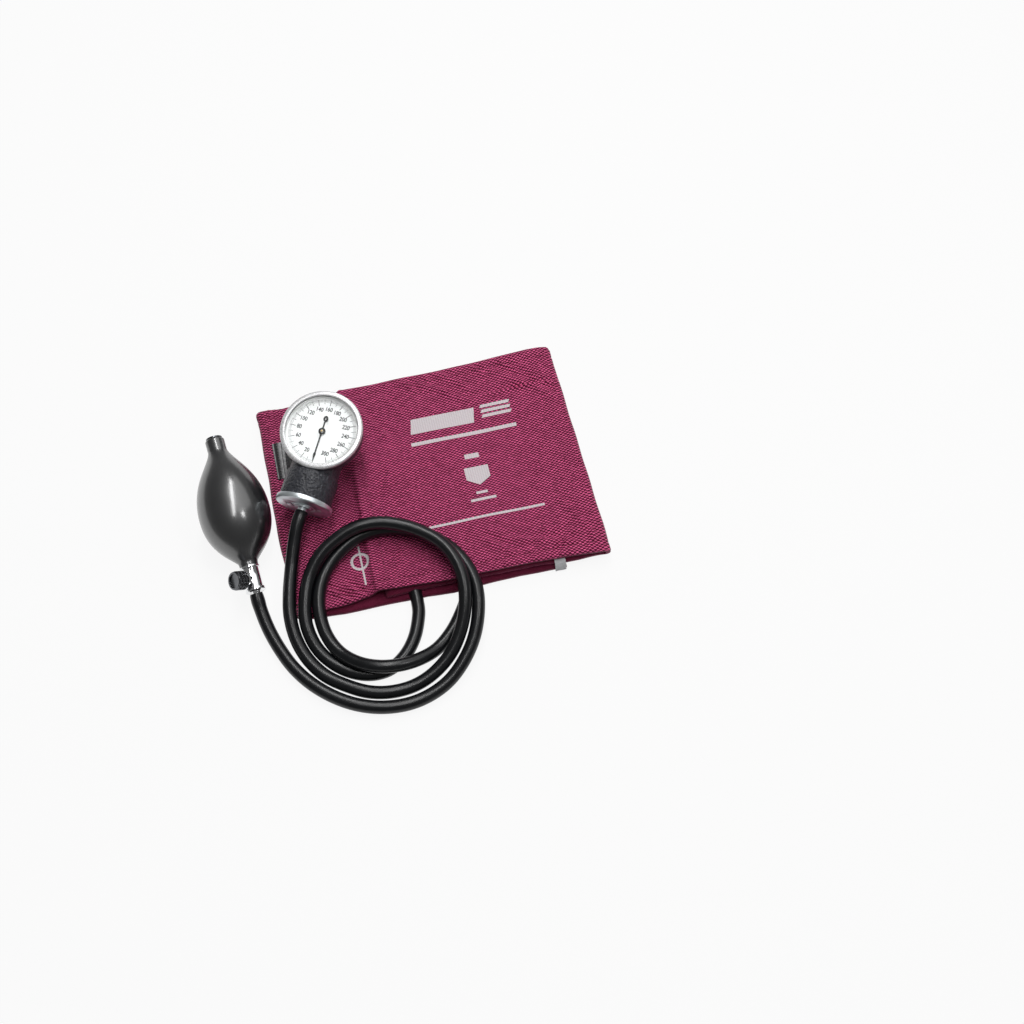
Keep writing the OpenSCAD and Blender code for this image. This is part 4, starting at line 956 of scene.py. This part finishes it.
def panel(name, side, material, node, show, hide, across):
    """One panel as a closed shell: its skin, and a lining that leaves the bladder's pocket free."""
    s, y = np.meshgrid(stations(show, hide), hem_rows(across), indexing="ij")
    seat = cuff_surface(s, y, side)
    skin = clear_of_tubes(seat) if side > 0 else seat
    x, z, _ = on_fold(s)
    depth = 0.03 + 1.14 * soft(61.5 - np.abs(y), 0, 1.5)
    middle = np.stack([x, seat[..., 1], z], -1)
    away = skin - middle
    far = np.linalg.norm(away, axis=-1)
    lining = middle + away / far[..., None] * np.minimum(depth, far - 0.25)[..., None]
    points, faces = grid_shell(skin, lining)
    uv = np.stack([s / UV_SPAN, (y + HALF_W) / UV_SPAN + 0.02], -1).reshape(-1, 2)
    if side > 0:
        faces = [f[::-1] for f in faces]
    piece = mesh_piece(name, points, faces, material, np.concatenate([uv, uv + [0, 0.5]]), sharp=75)
    settle(piece, BASE, [node])


panel("cuff_outer", 1.0, NYLON, "cuff_outer_panel", 1.15, 2.6, 1.5)
panel("cuff_inner", -1.0, LINING, "cuff_inner_panel", 2.6, 3.2, 3.0)


def bladder_part(name, points_of, nodes=()):
    points, faces = grid_shell(*points_of)
    piece = mesh_piece(name, points, faces, BLADDER_RUBBER, sharp=60, turn=True)
    settle(piece, BASE, nodes)


def bladder_piece():
    """The flat bladder along the fold, and its two necks in the front hem."""
    s0, s1, reach = BOTTOM_END - 40, AT_STEP + 55, 60
    s, y = np.meshgrid(np.linspace(s0, s1, 150), np.linspace(-reach, reach, 41), indexing="ij")
    x, z, h = on_fold(s)
    edge = np.clip(np.minimum(reach - np.abs(y), np.minimum(s - s0, s1 - s)) / 2.5, 0, 1)
    half = 0.35 + 0.7 * np.sqrt(edge)
    bladder_part("air_bladder", [
        np.stack([x - k * half * np.sin(h), y, z + k * half * np.cos(h)], -1) for k in (1, -1)], ["bladder"])
    for number, x_port in enumerate((-1.0, 30.5)):
        grid_y, grid_x = np.meshgrid(np.linspace(-71.5, -59, 12), np.linspace(-4.2, 4.2, 13), indexing="ij")
        thin = np.sqrt(np.clip(1 - (grid_x / 4.25) ** 2, 0.02, 1))
        bladder_part(f"bladder_neck_{number + 1}", [
            np.stack([grid_x + x_port, grid_y, LOW + k * thin], -1) for k in (1, -1)])


bladder_piece()


def flat_map(points):
    """The cloth map of a piece that lies flat."""
    return (points[:, :2] + UV_SPAN / 4) / UV_SPAN


def slab(name, x0, x1, half_y, z0, z1, material, node, nx, ny):
    """Thin sewn patch with rounded edges and an uneven face."""
    gx, gy = np.meshgrid(np.linspace(x0, x1, nx), np.linspace(-half_y, half_y, ny), indexing="ij")
    edge = np.minimum(np.minimum(gx - x0, x1 - gx), half_y - np.abs(gy))
    round_by, rough = 0.2, 0.02
    sink = round_by * (1 - np.sqrt(1 - (1 - np.clip(edge / 1.2, 0, 1)) ** 2))
    uneven = rough * np.sin(gx * 1.9 + 1.3 * np.sin(gy)) * np.sin(gy * 2.1)
    points, faces = grid_shell(np.stack([gx, gy, z1 - sink - rough + uneven], -1),
                               np.stack([gx, gy, z0 + sink + rough - uneven], -1))
    piece = mesh_piece(name, points, faces, material, flat_map(points), sharp=60, turn=True)
    return settle(piece, BASE, [node])


loop_slab = slab("loop_pile_patch", 11.3, 92.6, 72.1, 0.0, 0.78, PILE, "loop_patch", 60, 100)
hook_slab = slab("hook_pile_patch", -16.2, 43.2, 59.6, 7.36, 8.12, HOOKS, "hook_patch", 46, 90)

# Bezel, crystal, case, cap and the rest of the gauge
lathe_piece("bezel_skirt", [(23.66, 12.62), (24.9, 12.6)] + arc(24.95, 12.95, 0.33, -90, 0, 5) + [
    (25.28, 14.0), (25.2, 14.16), (23.66, 14.16)], DIAL, 160, CASE_ENAMEL, "case_enamel")
lathe_piece(
    "satin_bezel", [(23.66, 14.2), (25.2, 14.2), (25.3, 14.32)]
    + arc(23.9, 15.6, 1.4, 0, 80, 12) + arc(22.6, 16.75, 0.25, 90, 160, 4)
    + [(22.12, 16.62)] + arc(22.1, 16.52, 0.09, 120, 250, 4) + [(22.6, 16.46), (23.66, 16.46)],
    DIAL, 160, BEZEL_CHROME, "chrome_trim", ["gauge_bezel"])
lathe_piece("gauge_glass", [
    (0, 15.03), (23.1, 15.03), (23.35, 15.15), (23.35, 16.2), (23.1, 16.38), (21.9, 16.4), (0, 16.4)],
    DIAL, 128, CRYSTAL, "crystal", ["gauge_crystal"], sharp=20, closed=False)
# Pale ring that closes the gap between the dial and the crystal's seat
lathe_piece("dial_surround", [
    (22.25, 12.26), (22.25, 13.9), (22.4, 14.18), (22.2, 14.18), (22.05, 13.9), (22.05, 12.26)],
    DIAL, 128, DIAL_WHITE, "dial_white")

refined("gauge_case", CASE_ENAMEL, 0.5)
refined("base_cap", CAP_STEEL, 0.12)
refined("gauge_clip", STEEL, 0.15)
refined("clip_rivets", STEEL, 0.1)

# CAD nodes that stay, most of them inside, with their better materials
for finish, names in (
        (PALE_RUBBER, "crystal_gasket"), (DIAL_WHITE, "dial_plate"),
        (BRASS, "pinion_arbor sector_gear movement_back_plate movement_front_plate movement_pillars"),
        (BRASS, "pressure_capsule"), (STEEL, "hairspring movement_screws push_pin"),
        (STEEL, "inlet_valve_ball inlet_screen"), (SEAL_RUBBER, "cap_seal screw_packing"),
        (DISC_RUBBER, "outlet_check_disc")):
    for node in names.split():
        painted(NODES[node].data, finish)

# The dial: its face, the degrees for each mmHg, and the radii of its marks and numbers
DIAL_FACE = 12.2
SCALE_STEP = 336.0 / 300.0
MARKS_R, NUMBERS_R, NUMBER_SIZE = 20.9, 14.6, 3.8
ZERO = math.radians(-90)


def make_tick_tree():
    """Marks on an arc: one thin bar for each step of the scale, pointing to the middle."""
    tree, t, inp, out = new_group(
        "scale marks", [("Geometry", "Geometry"), ("Count", "Int"), ("First", "Float"), ("Step", "Float"),
                        ("Radius", "Float"), ("Length", "Float"), ("Width", "Float"), ("Height", "Float"),
                        ("Finish", "Material")], [("Geometry", "Geometry")], "GeometryNodeTree")
    line = t.add("GeometryNodeMeshLine", {"Count": inp["Count"]}, mode="OFFSET")
    index = t.add("GeometryNodeInputIndex")
    angle = t.line(index.outputs[0], inp["Step"], inp["First"])
    spot = t.vector(t.times(t.math("COSINE", angle), inp["Radius"]),
                    t.times(t.math("SINE", angle), inp["Radius"]), inp["Height"])
    placed = t.add("GeometryNodeSetPosition", {"Geometry": line.outputs[0], "Position": spot})
    bar = t.add("GeometryNodeMeshCube", {"Size": t.vector(inp["Length"], inp["Width"], 0.03 * MM)})
    marks = t.add("GeometryNodeInstanceOnPoints", {
        "Points": placed.outputs[0], "Instance": bar.outputs[0], "Rotation": t.vector(0.0, 0.0, angle)})
    return finished(tree, t, marks, inp["Finish"], out)


def finished(tree, t, copies, finish, out, smooth=False):
    """Ends a geometry tree: makes the copies real and gives them their material."""
    real = t.add("GeometryNodeRealizeInstances", {0: copies.outputs[0]})
    if smooth:
        real = t.add("GeometryNodeSetShadeSmooth", {0: real.outputs[0]})
    ready = t.add("GeometryNodeSetMaterial", {"Geometry": real.outputs[0], "Material": finish})
    t.put(out.inputs[0], ready.outputs[0])
    return tree


def in_metres(matrix):
    """A frame in millimetres as the matrix for a mesh that is made in metres."""
    made = matrix.copy()
    made.translation = matrix.translation * MM
    return made


TICKS = make_tick_tree()
for name, count, every, length, width in (
        ("scale_fine_marks", 151, 2, 1.9, 0.17), ("scale_ten_marks", 31, 10, 3.0, 0.28),
        ("scale_twenty_marks", 16, 20, 3.9, 0.40)):
    marks = nodes_to_piece(
        name, bpy.data.meshes.new(name), TICKS, in_metres(DIAL), Count=count, First=ZERO,
        Step=-math.radians(SCALE_STEP * every), Radius=(MARKS_R - length / 2) * MM, Length=length * MM,
        Width=width * MM, Height=(DIAL_FACE + 0.012) * MM, Finish=DIAL_BLACK)
    settle(marks, BASE)


def number_mesh(value, matrix):
    """A number as a thin solid, standing on the face of the dial."""
    curve = bpy.data.curves.new(f"number_{value}", "FONT")
    curve.body = str(value)
    curve.size = NUMBER_SIZE * MM
    curve.extrude, curve.offset = 0.012 * MM, 0.10 * MM
    curve.align_x, curve.align_y = "CENTER", "CENTER"
    curve.resolution_u = 3
    return finished_mesh(linked("number_source", curve), in_metres(matrix) @ Matrix.Diagonal((0.82, 1, 1, 1)))


def plate_mesh(loops, thick):
    """A flat plate of the pointer from closed outlines in millimetres, the inner ones as holes."""
    curve = bpy.data.curves.new("plate", "CURVE")
    curve.dimensions, curve.fill_mode = "2D", "BOTH"
    curve.extrude = thick / 2 * MM
    for loop in loops:
        spline = curve.splines.new("POLY")
        spline.points.add(len(loop) - 1)
        for point, (x, y) in zip(spline.points, loop):
            point.co = (x * MM, y * MM, 0, 1)
        spline.use_cyclic_u = True
    return finished_mesh(linked("plate_source", curve), in_metres(HAND))


def joined_piece(name, meshes, material):
    mesh = bpy.data.meshes.new(name)
    joined(mesh, meshes)
    for part in meshes:
        bpy.data.meshes.remove(part)
    painted(mesh, material)
    return linked(name, mesh)


numerals = []
for value in range(20, 301, 20):
    a = ZERO - math.radians(SCALE_STEP * value)
    where = DIAL @ moved(NUMBERS_R * math.cos(a), NUMBERS_R * math.sin(a), DIAL_FACE + 0.015)
    numerals.append(number_mesh(value, where))
settle(joined_piece("scale_numbers", numerals, DIAL_BLACK), BASE)


def oval(cx, cy, rx, ry, n=40):
    angles = [2 * math.pi * k / n for k in range(n)]
    return [(cx + rx * math.cos(a), cy + ry * math.sin(a)) for a in angles]


HAND = DIAL @ moved(0, 0, DIAL_FACE + 0.85)
hand = joined_piece("dial_pointer", [plate_mesh(loops, thick) for loops, thick in (
    ([[(-0.46, -1.8), (-0.34, -14.2), (-0.78, -15.2), (-0.12, -19.0), (0.12, -19.0), (0.78, -15.2),
       (0.34, -14.2), (0.46, -1.8)]], 0.30),
    ([oval(0, 0, 2.15, 2.15, 64), oval(0, 0, 1.2, 1.2, 48)], 0.36),
    ([[(-0.42, 1.9), (0.42, 1.9), (0.42, 6.9), (-0.42, 6.9)]], 0.30),
    ([oval(0, 8.2, 1.5, 1.9), oval(0, 8.2, 0.45, 0.75, 24)], 0.40))], POINTER_BLACK)
settle(hand, "pointer_train", ["pointer"])
lathe_piece("pointer_boss", [(0, 0.55), (0.5, 0.52), (0.85, 0.35), (1.0, 0.1), (1.0, -0.3), (0, -0.3)],
            HAND, 40, CHROME, "pointer_black", body="pointer_train", closed=False)


# Bulb and valve
def bezier(p, t):
    p = np.array(p, float)
    return (1 - t) ** 3 * p[0] + 3 * (1 - t) ** 2 * t * p[1] + 3 * (1 - t) * t * t * p[2] + t ** 3 * p[3]


def bulb_profile(inset, steps):
    upper, lower = ([(r - inset, z) for r, z in half] for half in (
        [(5.9, 8), (7.7, 16), (21.6, 26), (21.6, 49)], [(21.6, 49), (21.6, 68), (10.8, 75), (6, 81)]))
    return [tuple(bezier(upper, i / steps)) for i in range(steps + 1)] + [
        tuple(bezier(lower, i / steps)) for i in range(1, steps + 1)]


BULB_BORE, BULB_WALL = 3.62, 2.2
outer = arc(4.5, 1.4, 1.4, -90, 0, 8) + bulb_profile(0, 40) + [
    (5.75, 82.5)] + arc(5.2, BULB_LEN - 0.5, 0.5, 0, 90, 4)
inner = [(BULB_BORE, BULB_LEN), (BULB_BORE, BULB_LEN - 4)] + [
    (max(BULB_BORE, r), min(max(z, 9), BULB_LEN - 4)) for r, z in bulb_profile(BULB_WALL, 20)[::-1]] + [
    (BULB_BORE, 9), (BULB_BORE, 0)]


def mould_seam(a, r):
    return 0.03 * math.exp(-((abs(math.sin(a)) / 0.03) ** 2)) if r > 6.2 else 0.0


lathe_piece("squeeze_bulb", outer + inner, BULB, 144, BULB_RUBBER, "bulb_rubber", ["bulb"],
            sharp=60, wave=mould_seam)
refined("inlet_valve_body", DARK_NICKEL, 0.12)
refined("release_valve_body", CHROME, 0.15)
refined("valve_collar", DARK_NICKEL, 0.15)
refined("release_screw", DARK_NICKEL, 0.06, "thumbscrew")


# Webbing loop, between the gauge's narrow part and its clip
LOOP_T = 1.1
NECK_OUT, CLIP_GAP = 15.1, 2.0


def loop_station(v):
    """The loop's middle line at the share v of its width, as in the source."""
    def face(x):
        t = min(1, max(0, (x - STEP_X + STEP_LEN / 2) / STEP_LEN))
        return STRIP_TOP + LAYER * (1 - math.cos(math.pi * t)) / 2

    heading, tilt = math.radians(HEADING), math.radians(TILT)
    gx, gy, gz = GAUGE.translation

    def between(x, y):
        nx, ny = math.sin(heading) * math.sin(tilt), -math.cos(heading) * math.sin(tilt)
        d = -NECK_OUT - CLIP_GAP / 2 - nx * (x - gx) - ny * (y - gy)
        return gz + d / math.cos(tilt)

    rise = LOOP_T / 2 + 0.05
    flat = 8.0
    y0, y1 = 20 + 26 * v, 20 + 18.5 * v
    a = gx - (y1 - gy) * math.tan(heading)
    end = a + flat + 7
    return [(-69.6, y0, face(-70) + rise), (-62, y0, face(-62) + rise),
            (a - flat, y1, between(a - flat, y1)), (a + flat, y1, between(a + flat, y1)),
            (end - 2, y1, face(end - 1) + rise + 0.5), (end, y1, face(end) + rise + 0.3)]


def webbing_loop():
    across, along = 27, 61
    lines = []
    for j in range(across):
        line, _ = evenly(np.array(loop_station(j / (across - 1)), float), count=along)
        for _ in range(3):
            line[1:-1] = (line[:-2] + 2 * line[1:-1] + line[2:]) / 4
        lines.append(line)
    mid = np.array(lines).transpose(1, 0, 2)
    edge = np.abs(np.linspace(-1, 1, across))[None, :, None]
    half = (LOOP_T / 2 - 0.02) * np.sqrt(np.clip(1 - np.clip((edge - 0.9) / 0.1, 0, 1) ** 2 * 0.8, 0.05, 1))
    up = np.concatenate([np.zeros((*mid.shape[:2], 2)), np.ones((*mid.shape[:2], 1)) * half], -1)
    points, faces = grid_shell(mid + up, mid - up)
    u = np.linspace(0, 50 / UV_SPAN, along)[:, None].repeat(across, 1)
    v = np.linspace(0, 26 / UV_SPAN, across)[None].repeat(along, 0)
    uv = np.stack([u, v], -1).reshape(-1, 2)
    piece = mesh_piece("webbing_loop", points, faces, WEBBING, np.concatenate([uv, uv + [0.2, 0.2]]),
                       sharp=60, turn=True)
    settle(piece, BASE, ["gauge_loop"])
    return mid


loop_mid = webbing_loop()


def tag_piece():
    """The size tag: a strip from the front hem of the bottom layer, hanging over its edge."""
    way = np.array([(-70.4, 8.33), (-72.9, 8.33), (-74.9, 7.5), (-76.2, 5.6), (-76.9, 3.4), (-77.3, 1.3)])
    line, _ = smooth_line(np.column_stack([np.zeros(len(way)), way]), 0.5)
    along = directions(line)
    gx, k = np.meshgrid(np.linspace(85.6, 92.4, 12), np.arange(len(line)), indexing="ij")
    bulge = 0.10 * np.sin(gx * 1.1 + 0.4 * k)
    points, faces = grid_shell(*[
        np.stack([gx, line[k, 1] + h * along[k, 2], line[k, 2] - h * along[k, 1] + 0.05], -1)
        for h in (bulge + 0.17, bulge - 0.17)])
    piece = mesh_piece("size_tag_strip", points, faces, TAG_CLOTH, flat_map(points), sharp=60, turn=True)
    settle(piece, BASE, ["size_tag"])


tag_piece()


# Stitches
def make_stitch_tree():
    """Short rounded stitches spaced along a line."""
    tree, t, inp, out = new_group(
        "stitch row", [("Geometry", "Geometry"), ("Spacing", "Float"), ("Length", "Float"),
                       ("Width", "Float"), ("Finish", "Material")],
        [("Geometry", "Geometry")], "GeometryNodeTree")
    curve = t.add("GeometryNodeMeshToCurve", {0: inp["Geometry"]})
    even = t.add("GeometryNodeResampleCurve", mode="LENGTH")
    t.fill(even, {"Curve": curve.outputs[0], "Length": inp["Spacing"]})
    bead = t.add("GeometryNodeMeshUVSphere", {"Segments": 6, "Rings": 4, "Radius": 0.5})
    size = t.vector(inp["Length"], inp["Width"], inp["Width"])
    shaped = t.add("GeometryNodeTransform", {"Geometry": bead.outputs[0], "Scale": size})
    tangent = t.add("GeometryNodeInputTangent")
    aim = t.add("FunctionNodeAlignRotationToVector", {"Vector": tangent.outputs[0]}, axis="X")
    row = t.add("GeometryNodeInstanceOnPoints", {
        "Points": even.outputs[0], "Instance": shaped.outputs[0], "Rotation": aim.outputs[0]})
    return finished(tree, t, row, inp["Finish"], out, smooth=True)


STITCHES = make_stitch_tree()
STITCH_LIFT = 0.06


def stitch_lines(name, lines, spacing, length, width, material):
    points, edges = [], []
    for line in lines:
        first = len(points)
        points += (np.asarray(line) * MM).tolist()
        edges += [(first + i, first + i + 1) for i in range(len(line) - 1)]
    source = bpy.data.meshes.new(name)
    source.from_pydata(points, edges, [])
    settle(nodes_to_piece(name, source, STITCHES, Spacing=spacing * MM, Length=length * MM,
                          Width=width * MM, Finish=material))


def seam(y):
    s = np.linspace(9, AT_RIGHT - 1, max(12, int(abs(AT_RIGHT - 10))))
    return clear_of_tubes(cuff_surface(s, np.full_like(s, y), 1.0, STITCH_LIFT)[None], 4.3)[0]


def cross_seam(s):
    y = np.linspace(-66, 66, 140)
    return cuff_surface(np.full_like(y, s), y, 1.0, STITCH_LIFT)


stitch_lines("hem_stitches", [
    seam(HEM_SEAM), seam(-HEM_SEAM), cross_seam(END_SEAM), cross_seam(AT_STEP + 9.5)], 2.6, 2.0, 0.42, THREAD)
loop_rows = [loop_mid[i] for i in (3, 9)] + [loop_mid[3:10, j] for j in (2, 24)]
stitch_lines("webbing_stitches", [row + [0, 0, LOOP_T / 2 + 0.05] for row in loop_rows],
             2.0, 1.5, 0.4, GREY_THREAD)


# Floor, lights and world
def floor():
    mesh = bpy.data.meshes.new("floor")
    far, low = 6.0, -0.0002
    corners = [(-far, -far, low), (far, -far, low), (far, far, low), (-far, far, low)]
    mesh.from_pydata(corners, [], [(0, 1, 2, 3)])
    material = bpy.data.materials.new("white sweep")
    t = empty_tree(material)
    out = t.add("ShaderNodeOutputMaterial")
    matt = t.add("ShaderNodeBsdfDiffuse", {0: rgb(0.80, 0.80, 0.80)})
    white = t.add("ShaderNodeEmission", {0: rgb(1, 1, 1), 1: 1.0})
    rays = t.add("ShaderNodeLightPath").outputs
    seen = t.most(t.most(rays["Is Camera Ray"], rays["Is Glossy Ray"]), rays["Is Transmission Ray"])
    mix = t.add("ShaderNodeMixShader", {0: t.times(seen, 0.90), 1: matt.outputs[0], 2: white.outputs[0]})
    t.put(out.inputs["Surface"], mix.outputs[0])
    painted(mesh, material)
    linked("floor", mesh)


def softbox(name, place, width, height, power):
    """A soft lamp in metres and watts, turned to the object."""
    data = bpy.data.lights.new(name, "AREA")
    data.shape = "RECTANGLE"
    data.size, data.size_y = width, height
    data.energy = power
    aimed(linked(name, data), place, (0, 0, 0))


def world():
    scene.world = bpy.data.worlds.new("studio")
    t = empty_tree(scene.world)
    back = t.add("ShaderNodeBackground", {0: rgb(1, 1, 1), 1: 0.16})
    t.add("ShaderNodeOutputWorld", {0: back.outputs[0]})


floor()
world()
softbox("overhead_strip", (0.06, 0.30, 1.15), 0.16, 1.40, 7.5)
softbox("overhead_softbox", (0.55, 0.45, 1.15), 1.3, 1.3, 5.5)
softbox("right_lamp", (0.42, -0.22, 0.9), 0.14, 0.14, 1.0)
